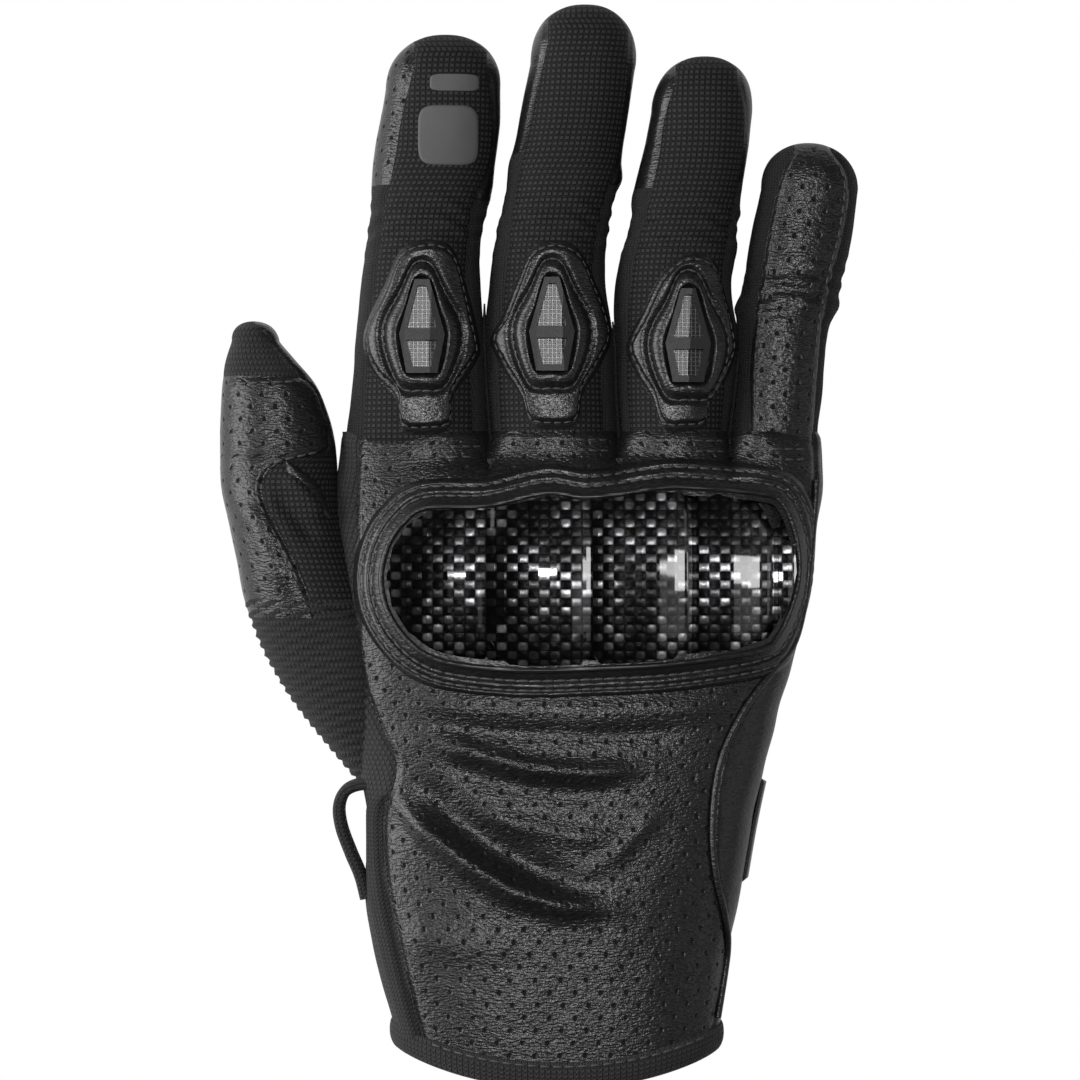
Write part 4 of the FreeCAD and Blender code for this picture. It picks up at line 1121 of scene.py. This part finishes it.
# sides, half height and underside of the thumb at each y
THUMB_Y = (-34, -26, -17.6, -8.8, 0, 8.8, 17.6, 26.4, 35, 44, 50, 57, 61.6, 66)
THUMB_LEFT = (-42.6, -49.0, -56.0, -62.0, -66.6, -69.6, -71.4, -73.4, -75.0, -75.3, -75.2, -74.7,
              -74.1, -72.8)
THUMB_RIGHT = (-36.0, -35.0, -35.0, -36.0, -38.0, -41.0, -44.5, -47.5, -49.0, -49.9, -51.5, -54.5,
               -58.5, -62.2)
THUMB_HIGH = (7.0, 10.5, 12.4, 13.0, 13.0, 13.0, 13.0, 12.4, 11.6, 10.6, 10.1, 9.4, 8.4, 6.8)
THUMB_FLOOR = (9.0, 5.0, 3.2, 2.8, 2.8, 2.8, 2.8, 2.8, 2.8, 2.8, 2.8, 3.2, 4.0, 5.2)
THUMB_TIP = (-67.9, 70.5)
THUMB_COLUMNS = (30, 40, 50)  # stretch window, leather, palm
THUMB_FOLDS = (  # (height, width, path)
    (1.5, 1.8, ((-60.5, 37), (-56, 32), (-51, 26))),
    (-0.9, 1.8, ((-63, 33), (-58, 27.5), (-53, 21))),
    (0.8, 2.2, ((-72, 30), (-66, 26), (-62, 16), (-58, 10))),
)
BESIDE_WINDOW = (-1.1, -0.2)  # from the window's edge to its row of stitches


def thumb_oval(y):
    y = np.asarray(y, float)
    left, right = curve(THUMB_Y, THUMB_LEFT, y), curve(THUMB_Y, THUMB_RIGHT, y)
    high, floor = curve(THUMB_Y, THUMB_HIGH, y), curve(THUMB_Y, THUMB_FLOOR, y)
    q = np.clip((y - THUMB_Y[-1]) / (THUMB_TIP[1] - THUMB_Y[-1]), 0, 0.9999)
    closing = (1 - q ** 2.2) ** (1 / 2.2)
    centre = (left + right) / 2 * (1 - q) + THUMB_TIP[0] * q
    return centre, floor + high, (right - left) / 2 * closing, high * closing ** 0.8


def thumb_top(x, y):
    return dome(thumb_oval(y), x, FINGER_POWER)


def thumb_relief(points, turn, limits, ribs):
    """Ribs that fan out from the wrist, or the seams and folds of the leather."""
    x, y = points[:, :, 0], points[:, :, 1]
    h = 0.2 * sway(x, y + turn * 0.1, 14, 30)
    if ribs:
        return h + 0.34 * np.sin(np.hypot(x + 40, y + 40) * 2 * math.pi / 2.3) * smoothstep(12, 4, y)
    half = thumb_oval(y)[2]
    for limit, depth in zip(limits[1:], (0.6, 0.45)):
        d = np.abs(turn - limit[:, None]) * math.pi / 180 * half
        h = h - depth * np.exp(-(d / 0.8) ** 2)
    upper = smoothstep(0.1, 0.5, np.sin(np.radians(turn)))
    h = h - 0.55 * np.exp(-((y - 58.0) / 0.7) ** 2) * upper
    for height, width, path in THUMB_FOLDS:
        h = h + ridge(x, y, path, width, height) * upper
    return h


WINDOW_EDGE = ((-46.5, -34), (-50, 0), (-54, 8), (-56, 13), (-58.5, 18.5), (-62, 25), (-65, 31.5),
               (-64.8, 36), (-61.5, 39), (-52, 41.5), (-50.9, 45), (-53.6, 55), (-56.4, 58.2),
               (-59.6, 61.5), (-64, 66.6), (-67.4, 69.8))


def thumb_mesh(name, first, last, materials, bands, ribs=False):
    """The thumb between two rows. bands: (upper y, window material, leather material, palm material)."""
    tip_x, tip_y = THUMB_TIP
    y = tip_rows(first, last, 0.6, tip_y, 6, 18)
    oval = thumb_oval(y)
    seam = angle_at(np.clip((line(WINDOW_EDGE, y) - oval[0]) / oval[2], -0.9, 0.97), FINGER_POWER)
    limits = [np.broadcast_to(a, y.shape) for a in (2.0, np.maximum(seam, 4.0), 178.0, 362.0)]
    turn = spread(limits, THUMB_COLUMNS)
    points = section_points(turn, y, oval, (FINGER_POWER, FINGER_POWER))
    h = thumb_relief(points, turn, limits, ribs) * smoothstep(tip_y, tip_y - 3, points[:, :, 1])
    points = points + ring_normals(points) * h[:, :, None]
    if last >= tip_y:
        points = with_tip(points, (tip_x, tip_y, thumb_oval(tip_y)[1]))
    rows = [next(band[1:] for band in bands if at <= band[0]) for at in points[:-1, 0, 1]]
    owners = np.repeat(np.array(rows), THUMB_COLUMNS, axis=1)
    uv = cloth_uv(points, 50, True)
    return grid(name, points, materials, uv, owners, closed=True)


def bend_thumb(obj):
    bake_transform(obj)
    return obj


def thumb_pieces():
    gusset = thumb_mesh("thumb_rib_gusset", -34.0, 9.0, ("rib", "suede"), ((99, 0, 0, 1),), ribs=True)
    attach(gusset, "hand")
    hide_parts("thumb_gusset")
    low = thumb_mesh("thumb_lower_leather", 5.0, 24.0, ("grid", "punched", "suede"), ((99, 0, 1, 2),))
    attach(low, "hand")
    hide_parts("thumb_back", "thumb_palm", "thumb_stretch_window")
    end = thumb_mesh("thumb_end_leather", 24.0, THUMB_TIP[1], ("grid", "punched", "suede", "soft", "rib"),
                     ((40.5, 0, 1, 2), (58.0, 1, 1, 2), (99, 3, 4, 2)))
    bend_thumb(end)
    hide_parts("thumb_end_back", "thumb_end_palm", "thumb_tip")
    sewn = lambda path: on_surface(thumb_top, path, 0.05)
    cross = sewn([(x, 56.6 + 0.04 * (x + 65)) for x in np.linspace(-73, -56.5, 20)])
    window, lower = [dense(WINDOW_EDGE[3:last], 1.2) for last in (10, 7)]
    window = sewn(window[window[:, 1] > 24] + BESIDE_WINDOW)
    bend_thumb(stitching("thumb_end_stitches", [cross, window]))
    lower = sewn(lower[lower[:, 1] < 24] + BESIDE_WINDOW)
    across = sewn([(x, 7.0) for x in np.linspace(-67.5, -56.5, 16)])
    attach(stitching("thumb_lower_stitches", [lower, across]), "hand")
    window_fold()


def window_fold():
    """A leaf of soft leather that folds over in the stretch window."""
    path = dense(((-60.0, 39.0), (-57.5, 36.0), (-54.5, 32.5), (-50.8, 26.5)), 0.5)
    way = path[-1] - path[0]
    side = np.array((-way[1], way[0])) / np.linalg.norm(way)
    share = np.clip(np.linspace(0, 1, len(path)), 0.02, 0.98)
    across = np.linspace(-1, 1, 9)
    rows = []
    for wide, point in zip(2.1 * np.sin(math.pi * share) ** 0.7, path):
        flat = point + side * (wide * across)[:, None]
        rows.append(on_surface(thumb_top, flat, 0.15 + 0.9 * (1 - across ** 2))[:, :3])
    points = np.stack(rows)
    bend_thumb(face_up(grid("thumb_window_fold", points, ["soft"], cloth_uv(points))))


# ---------------------------------------------------------------- wrist closure, pull loop and palm patch

STRAP_Y = (-53.0, -30.5)


def wrist_strip(name, first, last, low, high, material, high_end=None):
    """A strip round the underside of the wrist between two angles, from low to high off the glove's surface.
    Gives it back with the points of its inner face. high_end is its height where it ends."""
    bottom, top = STRAP_Y
    y = np.linspace(bottom, top, 30)
    angles = np.linspace(first, last, 90)
    high = np.linspace(high, high_end or high, 90)
    inner, outer = [section_points(angles, y, hand_oval(y), HAND_POWERS, grow) for grow in (low, high)]
    ends = [np.linalg.norm(outer - outer[:, k:k + 1 or None], axis=2) for k in (0, -1)]
    edge = np.minimum(np.minimum(y - bottom, top - y)[:, None], np.minimum(*ends))
    share = np.sqrt(np.clip(1 - (1 - np.clip(edge / 0.9, 0, 1)) ** 2, 0, 1))[:, :, None]
    shell = inner * (1 - share) + outer * share
    return grid(name, shell, [material], cloth_uv(shell)), inner


def closure_pieces():
    under = lambda x: float(hand_angle(np.array(-38.0), x, True))
    anchor, _ = wrist_strip("strap_anchor_leather", under(27.0), 366.0, 0.15, 3.8, "leather", 0.8)
    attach(anchor, "hand")
    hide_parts("strap_anchor")
    strap, inner = wrist_strip("wrist_strap_leather", under(-36.0), under(26.5), 2.3, 3.8, "leather")
    back = grid("wrist_strap_backing", inner, ["suede"], cloth_uv(inner), flip=True)
    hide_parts("wrist_strap")
    hook, inner = wrist_strip("strap_hook", under(-27.0), under(-2.0), 1.3, 2.3, "hook")
    hook_face = grid("strap_hook_face", inner, ["hook"], cloth_uv(inner), flip=True)
    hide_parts("strap_hook_tape")
    for piece in (strap, back, hook, hook_face):
        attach(piece, "strap")
    tape, _ = wrist_strip("strap_loop_face", under(-27.0), under(0.0), 0.15, 1.0, "lining")
    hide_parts("strap_loop_tape")
    for piece in (tape, pull_loop(), palm_patch()):
        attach(piece, "hand")


def pull_loop():
    """A folded strip of knit tape sewn into the side seam."""
    path = dense(((-39.5, -32.0), (-43.5, -31.6), (-47.0, -33.0), (-48.5, -36.4), (-48.0, -41.0),
                  (-46.0, -46.5), (-43.9, -51.5), (-42.6, -56.5)), 0.5)
    way = np.gradient(path, axis=0)
    side = np.stack([way[:, 1], -way[:, 0]], axis=1)
    side /= np.linalg.norm(side, axis=1, keepdims=True)
    turn = np.linspace(0, 2 * math.pi, 28, endpoint=False)
    out = 1.3 * np.sign(np.cos(turn)) * np.abs(np.cos(turn)) ** 0.6
    up = 5.5 * np.sign(np.sin(turn)) * np.abs(np.sin(turn)) ** 0.35
    points = np.stack([np.column_stack([p + s * out[:, None], 20.5 + up]) for p, s in zip(path, side)])
    loop = grid("pull_loop_tape", points, ["tape"], cloth_uv(points, 0, True), closed=True)
    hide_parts("pull_loop")
    return loop


def palm_patch():
    """A suede patch on the heel of the hand. Each row has its share of the outline and its height."""
    centre = np.array((0, 6.0))
    rim = rounded_rim(centre, (31.0, 26.0), 0.45, 160)
    profile = ((0.01, 0.0), (0.3, 0.0), (0.6, 0.0), (0.85, 0.0), (0.95, 0.0), (0.975, 0.1), (0.99, 0.45),
               (1.0, 1.0), (1.0, 2.2))
    points = np.stack([np.column_stack([centre + (rim - centre) * share, np.full(len(rim), height)])
                       for share, height in profile])
    patch = grid("palm_grip_patch", points, ["suede"], flat_uv(points), closed=True)
    face_up(patch, False)
    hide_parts("palm_patch")
    return patch


# ---------------------------------------------------------------- camera, floor and light


def lamp(name, where, target, size, watts):
    data = bpy.data.lights.new(name, "AREA")
    data.shape = "ELLIPSE"
    data.size, data.size_y = size
    data.energy = watts
    obj = linked(name, data)
    obj.location = where
    obj.rotation_euler = (Vector(target) - obj.location).to_track_quat("-Z", "Y").to_euler()
    return obj


def link_guard(light, spared):
    """Lights the guard alone, or everything but the guard, whose clear coat would show a broad lamp."""
    receivers = bpy.data.collections.new(f"{light.name}_receivers")
    receivers.objects.link(bpy.data.objects["knuckle_guard"])
    if spared:
        receivers.collection_objects[0].light_linking.link_state = "EXCLUDE"
    light.light_linking.receiver_collection = receivers


def white_floor():
    """A floor that the camera sees as white, and that gives the glove a little light back."""
    n = Nodes("floor_white")
    diffuse = n.add("ShaderNodeBsdfDiffuse")
    diffuse.inputs["Color"].default_value = (0.9, 0.9, 0.9, 1)
    glow = n.add("ShaderNodeEmission")
    glow.inputs["Color"].default_value = (1, 1, 1, 1)
    mix = n.add("ShaderNodeMixShader")
    n.fill(mix, n.add("ShaderNodeLightPath").outputs["Is Camera Ray"], diffuse.outputs[0], glow.outputs[0])
    n.put(n.tree.nodes["Material Output"].inputs["Surface"], mix.outputs[0])
    n.tree.nodes.remove(n.surface)
    size, depth = 1500.0, -0.05
    corners = [(-size, -size, depth), (size, -size, depth), (size, size, depth), (-size, size, depth)]
    floor = build("floor", corners, [(0, 1, 2, 3)], [])
    floor.data.materials.append(n.material)


def white_world():
    """White for the camera, and almost dark as a light."""
    world = bpy.data.worlds.new("studio")
    bpy.context.scene.world = world
    world.use_nodes = True
    background = world.node_tree.nodes["Background"]
    background.inputs["Color"].default_value = (1, 1, 1, 1)
    path = world.node_tree.nodes.new("ShaderNodeLightPath")
    glow = world.node_tree.nodes.new("ShaderNodeMapRange")
    glow.inputs["To Min"].default_value = 0.03
    world.node_tree.links.new(path.outputs["Is Camera Ray"], glow.inputs["Value"])
    world.node_tree.links.new(glow.outputs[0], background.inputs["Strength"])


def studio():
    scene = bpy.context.scene
    scene.view_settings.view_transform = "Standard"
    white_world()
    camera = bpy.data.cameras.new("camera")
    camera.lens, camera.sensor_width = 135, 36
    scene.camera = linked("camera", camera)
    view_width = 0.2376  # what the picture takes in at the middle of the glove's height
    scene.camera.location = (-0.0044, 0.022, 0.020 + view_width * camera.lens / camera.sensor_width)
    glove = (0, 0.02, 0.02)
    key = lamp("key", (-0.88, 0.14, 0.44), glove, (0.85, 0.80), 12.5)
    link_guard(key, spared=True)
    lamp("spark", (-0.05, 0.16, 0.95), glove, (0.17, 0.14), 5.0)
    guard_side = lamp("guard_side", (0.60, 0.12, 0.36), glove, (0.30, 0.30), 3.2)
    link_guard(guard_side, spared=False)
    lamp("fill", (0.70, -0.10, 0.45), glove, (0.60, 0.60), 0.7)
    white_floor()


def main():
    for piece in hand_pieces():
        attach(piece, "hand")
    for piece in guard_pieces() + hand_stitching():
        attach(piece, "hand")
    finger_pieces()
    thumb_pieces()
    closure_pieces()
    studio()


main()
